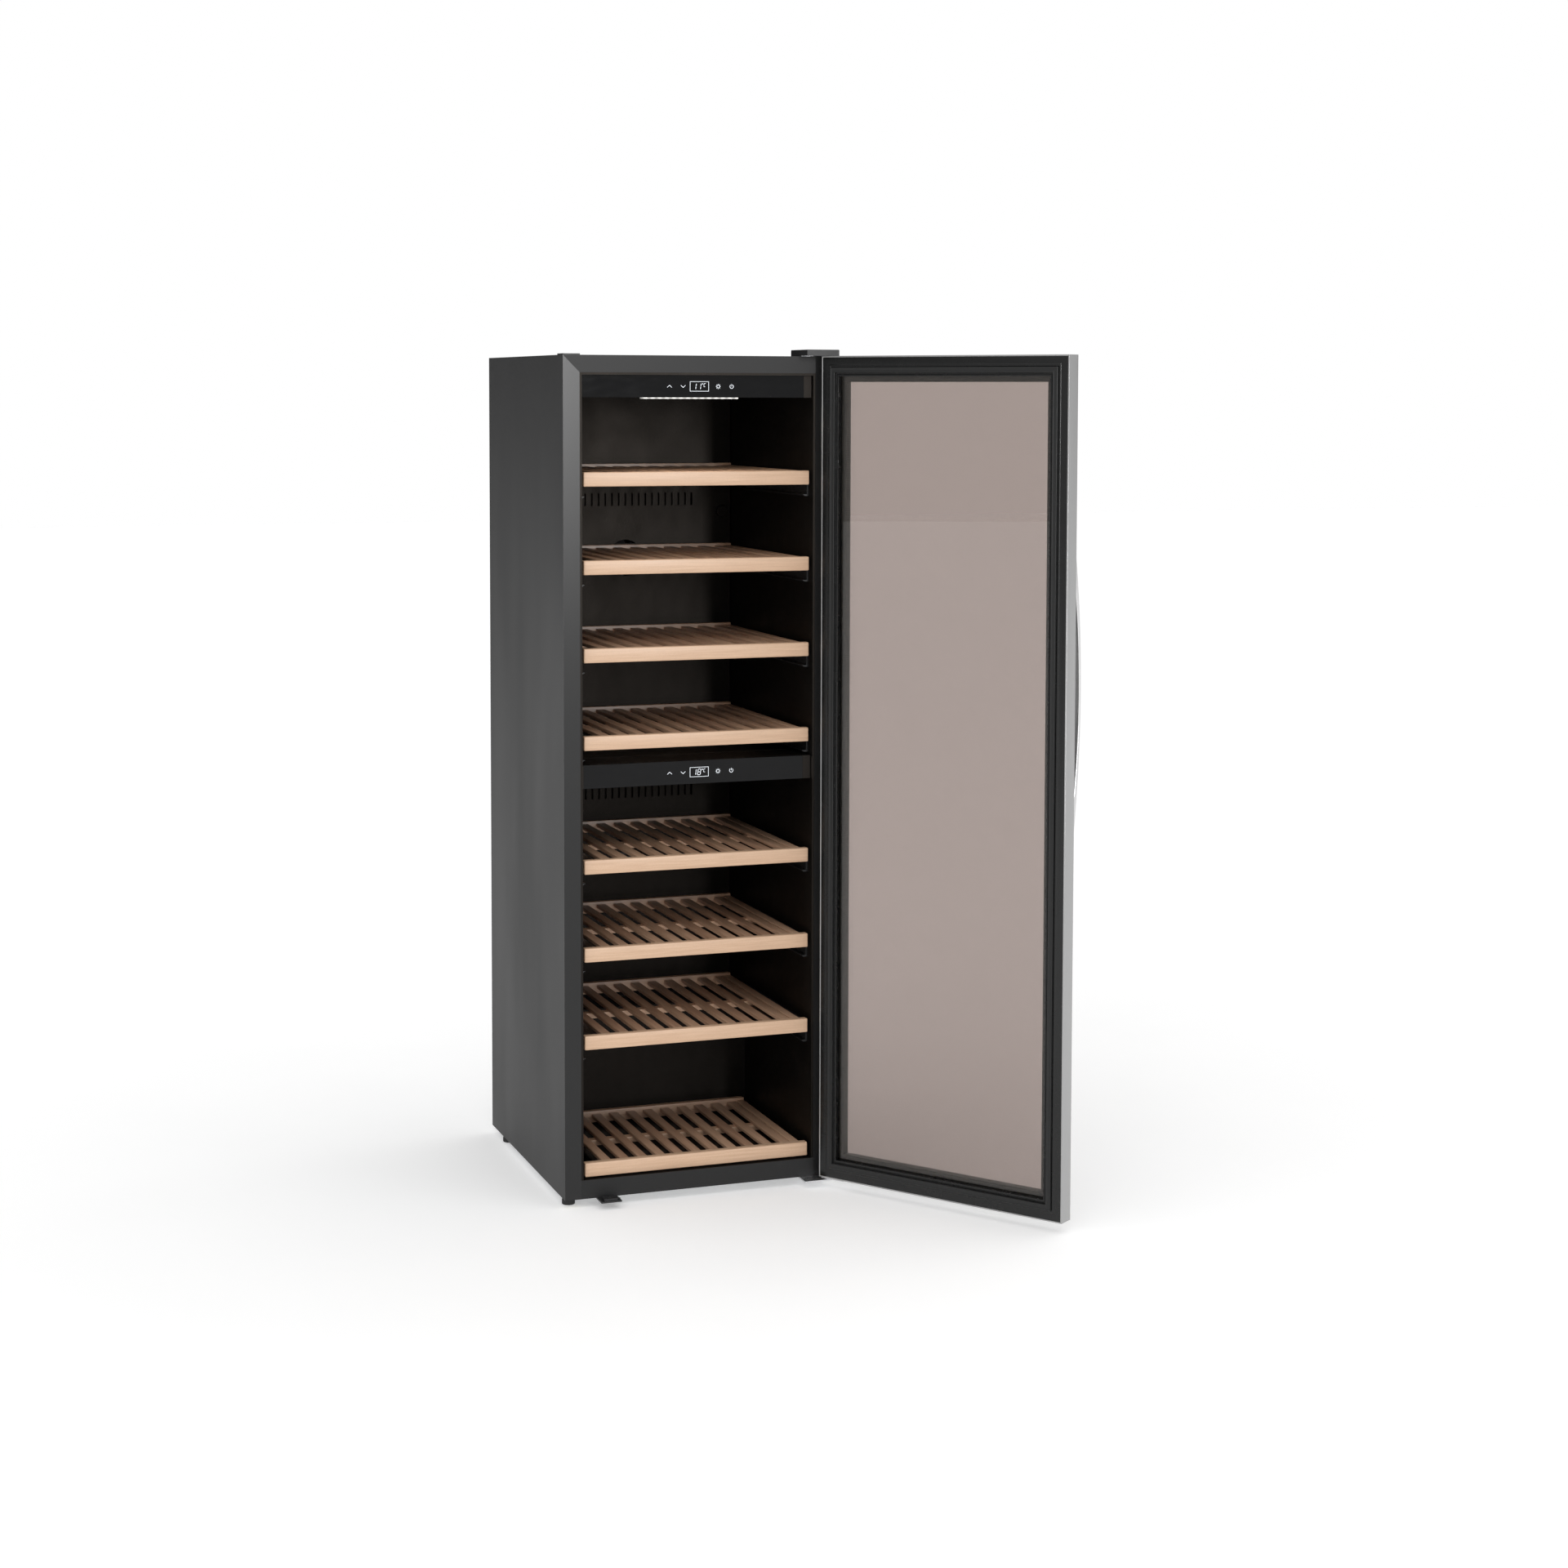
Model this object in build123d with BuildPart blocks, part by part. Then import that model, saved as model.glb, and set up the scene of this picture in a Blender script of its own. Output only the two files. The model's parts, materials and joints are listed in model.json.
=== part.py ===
from build123d import *
import math
import os

# Two-zone wine cooler with a glass door, in millimetres.
# +X runs to the right and +Y to the back as one faces the door, +Z is up.
# Pieces are drawn about the middle of the cabinet, on the floor, and written with the origin
# under the middle of the front left foot. The door stands open.

# ---------------------------------------------------------------- cabinet sizes
body_w = 595.0          # width over the side panels
body_d = 634.0          # front flange to rear panel
body_h = 1780.0         # cabinet without its feet
foot_h = 18.0           # floor to the underside of the cabinet
sheet_t = 1.0           # painted steel sheet
liner_t = 2.0           # moulded inner liner
side_foam = 38.0        # insulation in the side walls and the ceiling
rear_foam = 40.0        # insulation behind the liner
flange_w = 36.0         # front flange that the side and top panels fold into
bottom_rail_h = 40.0
lip_w = 9.0             # liner lip that tucks behind the steel flange

# ---------------------------------------------------------------- zones and shelves
divider_low = 872.0     # underside of the divider, above the cabinet's own underside
divider_h = 50.0
panel_drop = 52.0       # front height of the upper control panel, with the lip above it
panel_set_back = 8.5    # control panels and shelf fronts stand this far behind the flange
panel_depth = 110.0
panel_side_gap = 2.0
touch_t = 3.0           # glossy front plate of a control panel
end_block_w = 17.0      # plain block at the hinge end of each panel
duct_depth = 45.0       # space behind the air duct covers
duct_t = 3.0
step_depth = 439.0      # front flange to the step over the compressor room
step_h = 300.0          # top of that step above the cabinet's underside

upper_shelf_count = 4
upper_first_top = 60.0  # lowest upper shelf above the divider
upper_pitch = 184.7
lower_shelf_count = 3
lower_first_drop = 152.0  # highest lower shelf below the divider
lower_pitch = 187.0
floor_shelf_top = 33.5  # bottom shelf above the liner's floor

front_h = 30.0          # beech shelf front
front_t = 18.0
front_edge_r = 1.5
front_side_gap = 5.7    # shelf front to the liner on each side
slat_w = 20.5
slat_t = 8.0
slat_drop = 1.0         # slats below the top of the shelf front
slat_pitch = 40.5
slat_shift = 3.4        # the slats stand a little towards the hinge side
shelf_rail_w = 19.0     # raised rail along the hinge side
shelf_rail_gap = 14.3   # that rail's outer face to the end of the shelf front
cross_bar_d = 23.0
cross_bar_h = 12.0
cross_bar_at = 222.0    # front of the middle cross bar behind the shelf front's back
back_rail_d = 16.0
back_rail_rise = 5.0    # back rail above the shelf front
shelf_depth = 492.0     # a sliding shelf, front to back
floor_shelf_depth = 396.0

runner_h = 45.0
runner_drop = 10.0      # top of a runner below the top of its shelf
runner_depth = 9.5
runner_back_gap = 10.5  # runner's rear end to the step over the compressor room
runner_t = 1.5
runner_gap = 0.4        # running clearance in a runner
carrier_w = 62.0        # flat foot of the runner that carries the wood

# ---------------------------------------------------------------- door sizes
door_open = 125.8       # angle at which the door stands
door_t = 38.0
door_gap = 6.0          # door's inner face to the cabinet's flange
door_low = 5.7          # door's lower edge above the cabinet's underside
door_h = 1775.0
hinge_in = 11.0         # hinge axis from the door's edge
hinge_out = 20.0        # hinge axis from the door's inner face
door_skin_t = 3.0       # wall of the metal frame
door_face_t = 2.0
door_face_w = 50.0      # visible width of the metal frame on the outer face
frame_w = 43.0          # black inner frame
ridge_at = 19.0
ridge_w = 4.5
ridge_h = 1.0
gasket_at = 24.0
gasket_w = 12.0
gasket_foot_w = 5.0
gasket_foot_d = 6.0
gasket_clear = 0.3      # gasket to the flange with the door shut
pane_edge = 14.0        # pane's edge from the door's edge
pane_t = 4.0
spacer_d = 18.0
spacer_w = 12.0
fit_gap = 0.3           # between pieces that slide or lie against each other

handle_mid = 1090.0     # middle of the handle above the cabinet's underside
handle_len = 630.0
handle_rise = 31.0
handle_t = 7.0
handle_w = 22.0
handle_in = 3.0         # from the door's free edge
handle_foot_len = 70.0
handle_screw_r = 2.0
handle_screw_head_r = 4.0
handle_screw_in = 8.0
handle_screw_bite = 4.0

# ---------------------------------------------------------------- hinges, feet, trim
pin_r = 4.0
pin_clear = 0.05
bracket_t = 3.0
bracket_w = 62.0
bracket_in = 6.0        # bracket's end from the cabinet's side
bracket_back = 55.0     # how far a hinge bracket reaches over the cabinet
bracket_nose = 11.0     # metal in front of the hinge axis
washer_r = 7.0
bush_w = 18.0
bush_h = 10.5
hinge_plate_len = 56.0
hinge_plate_in = 4.0
boss_r = 6.5
cover_w = 72.5
cover_h = 14.0
cover_t = 2.0
blank_cap_w = 36.0
blank_cap_h = 3.0
rest_w = 45.0
rest_at = 92.5          # door rest from the cabinet's left side
rest_out = 35.0
screw_r = 2.5
screw_head_r = 5.0
screw_head_h = 2.5
screw_len = 8.0
foot_r = 14.0
foot_pad_h = 12.0
foot_stem_r = 5.0
foot_stem_len = 22.0
front_foot_in = 18.0
front_foot_back = 39.0
hinge_foot_in = 32.0      # the front foot on the hinge side stands clear of its bracket
hinge_foot_back = 80.0
rear_foot_in = 18.0
rear_foot_back = 548.0
nut_h = 8.0

# ---------------------------------------------------------------- cooling parts
room_h = 258.0          # compressor room above the base plate
base_t = 1.5
compressor_l = 205.0
compressor_d = 128.0
compressor_h = 160.0
compressor_x = 120.0
mount_r = 12.0
mount_h = 14.0
fan_size = 92.0
fan_depth = 25.0
fan_bore_r = 42.0
fan_hub_r = 16.0
fan_tip_gap = 1.5
fan_shaft_r = 2.0
tube_r = 4.0

# ---------------------------------------------------------------- derived places
left, right = -body_w / 2, body_w / 2
front, back = -body_d / 2, body_d / 2
under, top = foot_h, foot_h + body_h
wall = sheet_t + side_foam + liner_t          # flange face to the cabinet's opening
open_x = body_w / 2 - wall                    # half the opening's width
liner_x = open_x + liner_t
liner_back = back - sheet_t - rear_foam - liner_t
ceiling = top - wall
floor = under + bottom_rail_h
split_low = under + divider_low               # underside of the divider
split_high = split_low + divider_h
step_front = front + step_depth
step_top = under + step_h
room_front = step_front + liner_t + side_foam
room_top = under + base_t + room_h
base_top = under + base_t
duct_front = liner_back - duct_depth
panel_front = front + panel_set_back
panel_back = panel_front + panel_depth
panel_x = open_x - panel_side_gap
panel_low = top - flange_w - panel_drop

hinge_x = right - hinge_in
hinge_y = front - door_gap - hinge_out
door_bottom = under + door_low
door_top = door_bottom + door_h
bracket_x0, bracket_x1 = right - bracket_in - bracket_w, right - bracket_in
bracket_front = hinge_y - bracket_nose
rest_x = left + rest_at

upper_screws = [(bracket_x0 + dx, front + 40) for dx in (12, 31, 50)]
lower_screws = [(bracket_x0 + 10, front + 25), (bracket_x0 + 10, front + 45), (bracket_x0 + 31, front + 25)]
rest_screws = [(rest_x + dx, front + 28) for dx in (-12, 12)]
turn = math.radians(door_open)
foot_x, foot_y = left + front_foot_in, front + front_foot_back
to_origin = Pos(-foot_x, -foot_y, 0)

os.makedirs("parts", exist_ok=True)


def write(piece, name):
    """Move a finished piece to the written origin, label it and write its STEP file."""
    placed = to_origin * piece.part
    placed.label = name
    export_step(placed, f"parts/{name}.step")


def write_apart(solids, name):
    """Write solids that only touch each other as one file, without fusing them."""
    placed = [to_origin * solid for solid in solids]
    export_step(Compound(label=name, children=placed), f"parts/{name}.step")


def slab(x0, x1, y0, y1, z0, z1, mode=Mode.ADD):
    """A block between two corners, square to the cabinet."""
    with BuildSketch(Plane.XY.offset(z0)) as outline:
        with Locations(((x0 + x1) / 2, (y0 + y1) / 2)):
            Rectangle(x1 - x0, y1 - y0)
    extrude(outline.sketch, amount=z1 - z0, mode=mode)


def post(x, y, z0, z1, r, mode=Mode.ADD):
    """An upright round bar or hole."""
    with BuildSketch(Plane.XY.offset(z0)) as outline:
        with Locations((x, y)):
            Circle(r)
    extrude(outline.sketch, amount=z1 - z0, mode=mode)


def facing_back(y):
    """A plane across the cabinet whose local x is +X, local y is +Z and normal is -Y."""
    return Plane(origin=(0, y, 0), x_dir=(1, 0, 0), z_dir=(0, -1, 0))


def turned(x, y):
    """Where a point of the shut door lies once the door stands open."""
    dx, dy = x - hinge_x, y - hinge_y
    return (
        hinge_x + dx * math.cos(turn) - dy * math.sin(turn),
        hinge_y + dx * math.sin(turn) + dy * math.cos(turn),
    )


def door_plane(depth):
    """A plane parallel to the open door, this far out from its inner face.

    Local x runs from the free edge to the hinge edge, local y is +Z, and the normal points out.
    """
    x, y = turned(left, front - door_gap - depth)
    return Plane(
        origin=(x, y, 0),
        x_dir=(math.cos(turn), math.sin(turn), 0),
        z_dir=(math.sin(turn), -math.cos(turn), 0),
    )


def door_slab(x0, x1, z0, z1, d0, d1, mode=Mode.ADD):
    """A block square to the open door: x from the free edge, d out from the inner face."""
    with BuildSketch(door_plane(d0)) as outline:
        with Locations(((x0 + x1) / 2, (z0 + z1) / 2)):
            Rectangle(x1 - x0, z1 - z0)
    extrude(outline.sketch, amount=d1 - d0, mode=mode)


def door_ring(edge, width, d0, d1, mode=Mode.ADD):
    """A rectangular ring that runs round the door, its outer side this far from the edge."""
    with BuildSketch(door_plane(d0)) as outline:
        with Locations((body_w / 2, (door_bottom + door_top) / 2)):
            Rectangle(body_w - 2 * edge, door_h - 2 * edge)
            Rectangle(body_w - 2 * (edge + width), door_h - 2 * (edge + width), mode=Mode.SUBTRACT)
    extrude(outline.sketch, amount=d1 - d0, mode=mode)


# ================================================================ cabinet shell
# A side panel is one sheet: the side itself and a front flange, cut at 45 degrees at the top
# to meet the top panel's flange.
for name, side in (("side_panel_left", -1), ("side_panel_right", 1)):
    outer, inner = side * body_w / 2, side * (body_w / 2 - sheet_t)
    flange = side * (body_w / 2 - flange_w)
    with BuildPart() as side_panel:
        slab(min(outer, inner), max(outer, inner), front, back, under, top)
        with BuildSketch(facing_back(front + sheet_t)) as fold:
            with BuildLine():
                Polyline(
                    (inner, under),
                    (flange, under),
                    (flange, top - flange_w),
                    (inner, top - sheet_t),
                    close=True,
                )
            make_face()
        extrude(fold.sketch, amount=sheet_t)
    write(side_panel, name)

# The top panel lies between the sides and folds down into the same flange.
with BuildPart() as top_panel:
    slab(left + sheet_t, right - sheet_t, front, back, top - sheet_t, top)
    with BuildSketch(facing_back(front + sheet_t)) as fold:
        with BuildLine():
            Polyline(
                (left + sheet_t, top - sheet_t),
                (left + flange_w, top - flange_w),
                (right - flange_w, top - flange_w),
                (right - sheet_t, top - sheet_t),
                close=True,
            )
        make_face()
    extrude(fold.sketch, amount=sheet_t)
    for x, y in upper_screws:
        post(x, y, top - 2 * sheet_t, top + 1, screw_r, Mode.SUBTRACT)
write(top_panel, "top_panel")

# The bottom rail butts against both side flanges and folds back at its lower edge.
rail_fold = 14.0
with BuildPart() as bottom_rail:
    slab(left + flange_w, right - flange_w, front, front + sheet_t, under, floor)
    slab(left + flange_w, right - flange_w, front, front + rail_fold, under, under + sheet_t)
write(bottom_rail, "bottom_rail")

# The rear panel folds forward over the compressor room and down in front of it.
with BuildPart() as rear_panel:
    slab(left + sheet_t, right - sheet_t, back - sheet_t, back, room_top, top - sheet_t)
    slab(left + sheet_t, right - sheet_t, room_front, back, room_top, room_top + sheet_t)
    slab(left + sheet_t, right - sheet_t, room_front, room_front + sheet_t, base_top, room_top)
write(rear_panel, "rear_panel")

feet = {
    "front_left": (foot_x, foot_y),
    "front_right": (right - hinge_foot_in, front + hinge_foot_back),
    "rear_left": (left + rear_foot_in, front + rear_foot_back),
    "rear_right": (right - rear_foot_in, front + rear_foot_back),
}

# The base plate closes the underside and carries a threaded bush over each foot.
with BuildPart() as base_plate:
    slab(left + sheet_t, right - sheet_t, front + rail_fold, back, under, base_top)
    for x, y in feet.values():
        post(x, y, base_top, base_top + nut_h, foot_stem_r + 4)
        post(x, y, under, base_top + nut_h, foot_stem_r + pin_clear, Mode.SUBTRACT)
    for x, y in lower_screws + rest_screws:
        post(x, y, under - 1, base_top + 1, screw_r, Mode.SUBTRACT)
write(base_plate, "base_plate")

# Each foot is a round rubber-soled pad on a stem that turns in its bush.
for name, (x, y) in feet.items():
    with BuildPart() as foot:
        post(x, y, 0, foot_pad_h, foot_r)
        fillet(foot.edges().filter_by(GeomType.CIRCLE).sort_by(Axis.Z)[0], 1.5)
        post(x, y, foot_pad_h, foot_h - 1.5, foot_r * 0.6)
        post(x, y, foot_h - 1.5, foot_h - 1.5 + foot_stem_len, foot_stem_r)
    write(foot, f"foot_{name}")

# ================================================================ liners and insulation
lip_back = front + sheet_t + liner_t
cut_past = 5.0          # how far a cutting block runs past what it cuts


def liner_front(z0, z1):
    """The liner's lip behind the steel flange, on both sides of the opening."""
    for x0, x1 in ((-liner_x - lip_w, -liner_x), (liner_x, liner_x + lip_w)):
        slab(x0, x1, front + sheet_t, lip_back, z0, z1)


with BuildPart() as upper_liner:
    slab(-liner_x, liner_x, front + sheet_t, liner_back + liner_t, split_high - liner_t, ceiling + liner_t)
    slab(-open_x, open_x, front, liner_back, split_high, ceiling, Mode.SUBTRACT)
    slab(
        -open_x, open_x, front, panel_back + fit_gap,
        split_high - liner_t - cut_past, split_high + cut_past, Mode.SUBTRACT,
    )
    liner_front(split_high - liner_t, ceiling + liner_t)
    slab(
        -liner_x - lip_w, liner_x + lip_w, front + sheet_t, lip_back,
        ceiling + liner_t, ceiling + liner_t + lip_w,
    )
write(upper_liner, "upper_liner")


def stepped(y0, grow, x, mode=Mode.ADD):
    """The lower zone's outline from the side, with its step over the compressor room."""
    with BuildSketch(Plane.YZ.offset(-x)) as outline:
        with BuildLine():
            Polyline(
                (y0, floor - grow),
                (step_front + grow, floor - grow),
                (step_front + grow, step_top - grow),
                (liner_back + grow, step_top - grow),
                (liner_back + grow, split_low + grow),
                (y0, split_low + grow),
                close=True,
            )
        make_face()
    extrude(outline.sketch, amount=2 * x, mode=mode)


with BuildPart() as lower_liner:
    stepped(front + sheet_t, liner_t, liner_x)
    stepped(front, 0, open_x, Mode.SUBTRACT)
    slab(
        -open_x, open_x, front, panel_back + fit_gap,
        split_low - cut_past, split_low + liner_t + cut_past, Mode.SUBTRACT,
    )
    liner_front(floor - liner_t, split_low + liner_t)
    slab(
        -liner_x - lip_w, liner_x + lip_w, front + sheet_t, lip_back,
        floor - liner_t - lip_w, floor - liner_t,
    )
write(lower_liner, "lower_liner")

# The divider is an insulated block between the two liners, with a pocket for its control panel.
with BuildPart() as zone_divider:
    slab(
        -liner_x, liner_x, front + sheet_t, liner_back + liner_t,
        split_low + liner_t, split_high - liner_t,
    )
    slab(
        -panel_x - fit_gap, panel_x + fit_gap, front, panel_back + fit_gap,
        split_low, split_high, Mode.SUBTRACT,
    )
    liner_front(split_low + liner_t, split_high - liner_t)
write(zone_divider, "zone_divider")

# Foamed in place, so it fills everything between the shell, the liners and the compressor room.
with BuildPart() as insulation_foam:
    slab(left + sheet_t, right - sheet_t, front + sheet_t, back - sheet_t, base_top, top - sheet_t)
    slab(
        -liner_x, liner_x, front, liner_back + liner_t,
        split_low + liner_t, ceiling + liner_t, Mode.SUBTRACT,
    )
    stepped(front, liner_t, liner_x, Mode.SUBTRACT)
    slab(
        -liner_x - lip_w, liner_x + lip_w, front, lip_back,
        floor - liner_t - lip_w, ceiling + liner_t + lip_w, Mode.SUBTRACT,
    )
    slab(left, right, room_front, back, under, room_top + sheet_t, Mode.SUBTRACT)
    for x, y in feet.values():
        post(x, y, under, under + foot_stem_len + nut_h, foot_stem_r + 4, Mode.SUBTRACT)
    for x, y in upper_screws:
        post(x, y, top - screw_len, top, screw_r + fit_gap, Mode.SUBTRACT)
    for x, y in lower_screws + rest_screws:
        post(x, y, under, under + screw_len, screw_r + fit_gap, Mode.SUBTRACT)
write(insulation_foam, "insulation_foam")

# ================================================================ control panels and lights
# One panel hangs under the ceiling and the other closes the front of the divider.
panels = ((panel_low, ceiling - fit_gap), (split_low + fit_gap, split_high - fit_gap))
block_x = panel_x - end_block_w
with BuildPart() as control_panels:
    for z0, z1 in panels:
        slab(-panel_x, panel_x, panel_front + touch_t, panel_back, z0, z1)
        slab(block_x, panel_x, panel_front, panel_front + touch_t, z0, z1)
write(control_panels, "control_panels")

with BuildPart() as touch_panels:
    for z0, z1 in panels:
        slab(-panel_x, block_x - fit_gap, panel_front, panel_front + touch_t, z0, z1)
write(touch_panels, "touch_panels")

light_len, light_d, light_t = 216.0, 12.0, 3.0
light_back = 64.0       # front flange to the light strips
with BuildPart() as led_strips:
    for z0, _ in panels:
        slab(
            -light_len / 2, light_len / 2, front + light_back, front + light_back + light_d,
            z0 - light_t, z0,
        )
write(led_strips, "led_strips")

# ================================================================ air ducts, fans, evaporators
slot_w, slot_h, slot_pitch, slot_count = 5.0, 30.0, 16.0, 21
fan_z = {
    "circulation_fan_upper": split_high + 400.0,
    "circulation_fan_lower": step_top + 330.0,
}
ducts = (
    (split_high + fit_gap, ceiling - fit_gap, fan_z["circulation_fan_upper"], split_high + 535.0),
    (step_top + fit_gap, split_low - fit_gap, fan_z["circulation_fan_lower"], step_top + 480.0),
)
grille_bars = 7
grille_bar_w = 4.0
with BuildPart() as air_ducts:
    for z0, z1, fan_mid, slots_mid in ducts:
        slab(-panel_x, panel_x, duct_front, duct_front + duct_t, z0, z1)
        for edge in (-panel_x, panel_x - duct_t):
            slab(edge, edge + duct_t, duct_front + duct_t, liner_back - fit_gap, z0, z1)
        with BuildSketch(facing_back(duct_front + duct_t + 1)) as grille:
            with Locations((0, fan_mid)):
                Circle(fan_bore_r)
                with GridLocations(0, 2 * fan_bore_r / (grille_bars + 1), 1, grille_bars):
                    Rectangle(2 * fan_bore_r, grille_bar_w, mode=Mode.SUBTRACT)
            with Locations((0, slots_mid)):
                with GridLocations(slot_pitch, 0, slot_count, 1):
                    SlotOverall(slot_h, slot_w, rotation=90)
        extrude(grille.sketch, amount=duct_t + 2, mode=Mode.SUBTRACT)
write(air_ducts, "air_ducts")

# A round charcoal filter plugs into the upper duct cover.
filter_r, filter_t = 14.0, 8.0
filter_x, filter_z = 234.0, split_high + 505.0
with BuildPart() as air_filter:
    with BuildSketch(facing_back(duct_front)) as outline:
        with Locations((filter_x, filter_z)):
            Circle(filter_r)
    extrude(outline.sketch, amount=filter_t)
    fillet(air_filter.edges().filter_by(GeomType.CIRCLE).sort_by(Axis.Y)[0], 2)
    with BuildSketch(facing_back(duct_front - filter_t)) as grip:
        with Locations((filter_x, filter_z)):
            Rectangle(2 * filter_r - 6, 4)
    extrude(grip.sketch, amount=4)
write(air_filter, "air_filter")

condenser_x0, condenser_x1 = left + 22.0, left + 172.0
condenser_y0, condenser_y1 = room_front + 8.0, room_front + 58.0
fans = {
    "circulation_fan_upper": (0.0, duct_front + duct_t, fan_z["circulation_fan_upper"]),
    "circulation_fan_lower": (0.0, duct_front + duct_t, fan_z["circulation_fan_lower"]),
    "condenser_fan": (
        (condenser_x0 + condenser_x1) / 2, condenser_y1, base_top + 20.0 + fan_size,
    ),
}
spoke_t, spoke_w = 3.0, 6.0
with BuildPart() as fan_frames:
    for x, y0, z in fans.values():
        y1 = y0 + fan_depth
        with BuildSketch(facing_back(y1)) as frame:
            with Locations((x, z)):
                RectangleRounded(fan_size, fan_size, 6)
                Circle(fan_bore_r + fan_tip_gap, mode=Mode.SUBTRACT)
                with GridLocations(fan_size - 12, fan_size - 12, 2, 2):
                    Circle(2.2, mode=Mode.SUBTRACT)
        extrude(frame.sketch, amount=fan_depth)
        with BuildSketch(facing_back(y1)) as spokes:
            with Locations((x, z)):
                Circle(fan_hub_r)
                Rectangle(2 * fan_bore_r + 4 * fan_tip_gap, spoke_w)
                Rectangle(spoke_w, 2 * fan_bore_r + 4 * fan_tip_gap)
        extrude(spokes.sketch, amount=spoke_t)
        with BuildSketch(facing_back(y1 - spoke_t)) as shaft:
            with Locations((x, z)):
                Circle(fan_shaft_r)
        extrude(shaft.sketch, amount=fan_depth - spoke_t - 5)
write(fan_frames, "fan_frames")

# A fan wheel is a hub with seven pitched blades, and turns on the frame's fixed shaft.
blade_count, blade_t, blade_chord, pitch = 7, 1.6, 21.0, math.radians(50)
for name, (x, y0, z) in fans.items():
    wheel_back = y0 + fan_depth - spoke_t - 0.5
    wheel_front = y0 + 1.5
    wheel_d = wheel_back - wheel_front
    mid = (x, (wheel_back + wheel_front) / 2, z)
    with BuildPart() as wheel:
        with BuildSketch(facing_back(wheel_back)) as hub:
            with Locations((x, z)):
                Circle(fan_hub_r)
        extrude(hub.sketch, amount=wheel_d)
        for i in range(blade_count):
            angle = 2 * math.pi / blade_count * i
            out = Vector(math.cos(angle), 0, math.sin(angle))
            round_hub = Vector(-math.sin(angle), 0, math.cos(angle))
            chord = Vector(0, math.cos(pitch), 0) + round_hub * math.sin(pitch)
            blade_plane = Plane(origin=mid, x_dir=chord, z_dir=out)
            with BuildSketch(blade_plane.offset(fan_hub_r - 3)) as blade:
                Rectangle(blade_chord, blade_t)
            extrude(blade.sketch, amount=fan_bore_r - fan_hub_r + 2)
        with BuildSketch(facing_back(wheel_back + 1)) as bore:
            with Locations((x, z)):
                Circle(fan_shaft_r + pin_clear)
        extrude(bore.sketch, amount=wheel_d - 1, mode=Mode.SUBTRACT)
    write(wheel, name)


def finned_coil(x0, x1, y0, y1, z0, z1, fins, passes):
    """A serpentine tube through a stack of upright fins."""
    fin_t = 0.8
    mid_y = (y0 + y1) / 2
    bend_r = (z1 - z0) / passes / 2
    reach = bend_r + tube_r + 4
    for i in range(fins):
        x = x0 + reach + (x1 - x0 - 2 * reach) * i / (fins - 1)
        slab(x - fin_t / 2, x + fin_t / 2, y0, y1, z0, z1)
    for i in range(passes):
        z = z0 + (i + 0.5) * (z1 - z0) / passes
        with BuildSketch(Plane.YZ.offset(x0 + reach - 4)) as tube:
            with Locations((mid_y, z)):
                Circle(tube_r)
        extrude(tube.sketch, amount=x1 - x0 - 2 * reach + 8)
    for i in range(passes - 1):
        end, side = (x1 - reach + 4, 1) if i % 2 == 0 else (x0 + reach - 4, -1)
        z = z0 + (i + 1) * (z1 - z0) / passes
        with BuildSketch(Plane.XZ.offset(-mid_y)) as elbow:
            with Locations((end, z)):
                Circle(bend_r + tube_r)
                Circle(bend_r - tube_r, mode=Mode.SUBTRACT)
            with Locations((end - side * (bend_r + tube_r) / 2, z)):
                Rectangle(bend_r + tube_r, 2 * (bend_r + tube_r), mode=Mode.SUBTRACT)
        extrude(elbow.sketch, amount=tube_r, both=True)


coil_y0, coil_y1 = duct_front + duct_t + 6.0, liner_back
with BuildPart() as evaporators:
    finned_coil(-190, 190, coil_y0, coil_y1, split_high + 90, split_high + 250, 20, 4)
    finned_coil(-190, 190, coil_y0, coil_y1, step_top + 60, step_top + 220, 20, 4)
write(evaporators, "evaporators")

# ================================================================ compressor room
with BuildPart() as condenser_coil:
    finned_coil(
        condenser_x0, condenser_x1, condenser_y0, condenser_y1,
        base_top, base_top + 180, 14, 5,
    )
write(condenser_coil, "condenser_coil")

compressor_y = (room_front + sheet_t + back - sheet_t) / 2
compressor_low = base_top + mount_h
mount_dx, mount_dy = compressor_l / 2 - 28.0, compressor_d / 2 - 6.0
with BuildPart() as compressor_mounts:
    with BuildSketch(Plane.XY.offset(base_top)) as ring:
        with Locations((compressor_x, compressor_y)):
            with GridLocations(2 * mount_dx, 2 * mount_dy, 2, 2):
                Circle(mount_r)
    extrude(ring.sketch, amount=mount_h)
write(compressor_mounts, "compressor_mounts")

with BuildPart() as compressor:
    with BuildSketch(Plane.XY.offset(compressor_low + 3)) as shell:
        with Locations((compressor_x, compressor_y)):
            SlotOverall(compressor_l, compressor_d)
    extrude(shell.sketch, amount=compressor_h)
    fillet(compressor.faces().sort_by(Axis.Z)[-1].edges(), 34)
    seam_z = compressor_low + 3 + compressor_h * 0.45
    with BuildSketch(Plane.XY.offset(seam_z)) as seam:
        with Locations((compressor_x, compressor_y)):
            SlotOverall(compressor_l + 6, compressor_d + 6)
    extrude(seam.sketch, amount=4)
    for side in (-1, 1):
        x = compressor_x + side * mount_dx
        slab(
            x - 11, x + 11, compressor_y - mount_dy - 11, compressor_y + mount_dy + 11,
            compressor_low, compressor_low + 3,
        )
    box_x = compressor_x + compressor_l / 2
    slab(
        box_x - 12, box_x + 26, compressor_y - 30, compressor_y + 30,
        compressor_low + 30, compressor_low + 85,
    )
write(compressor, "compressor")

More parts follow.
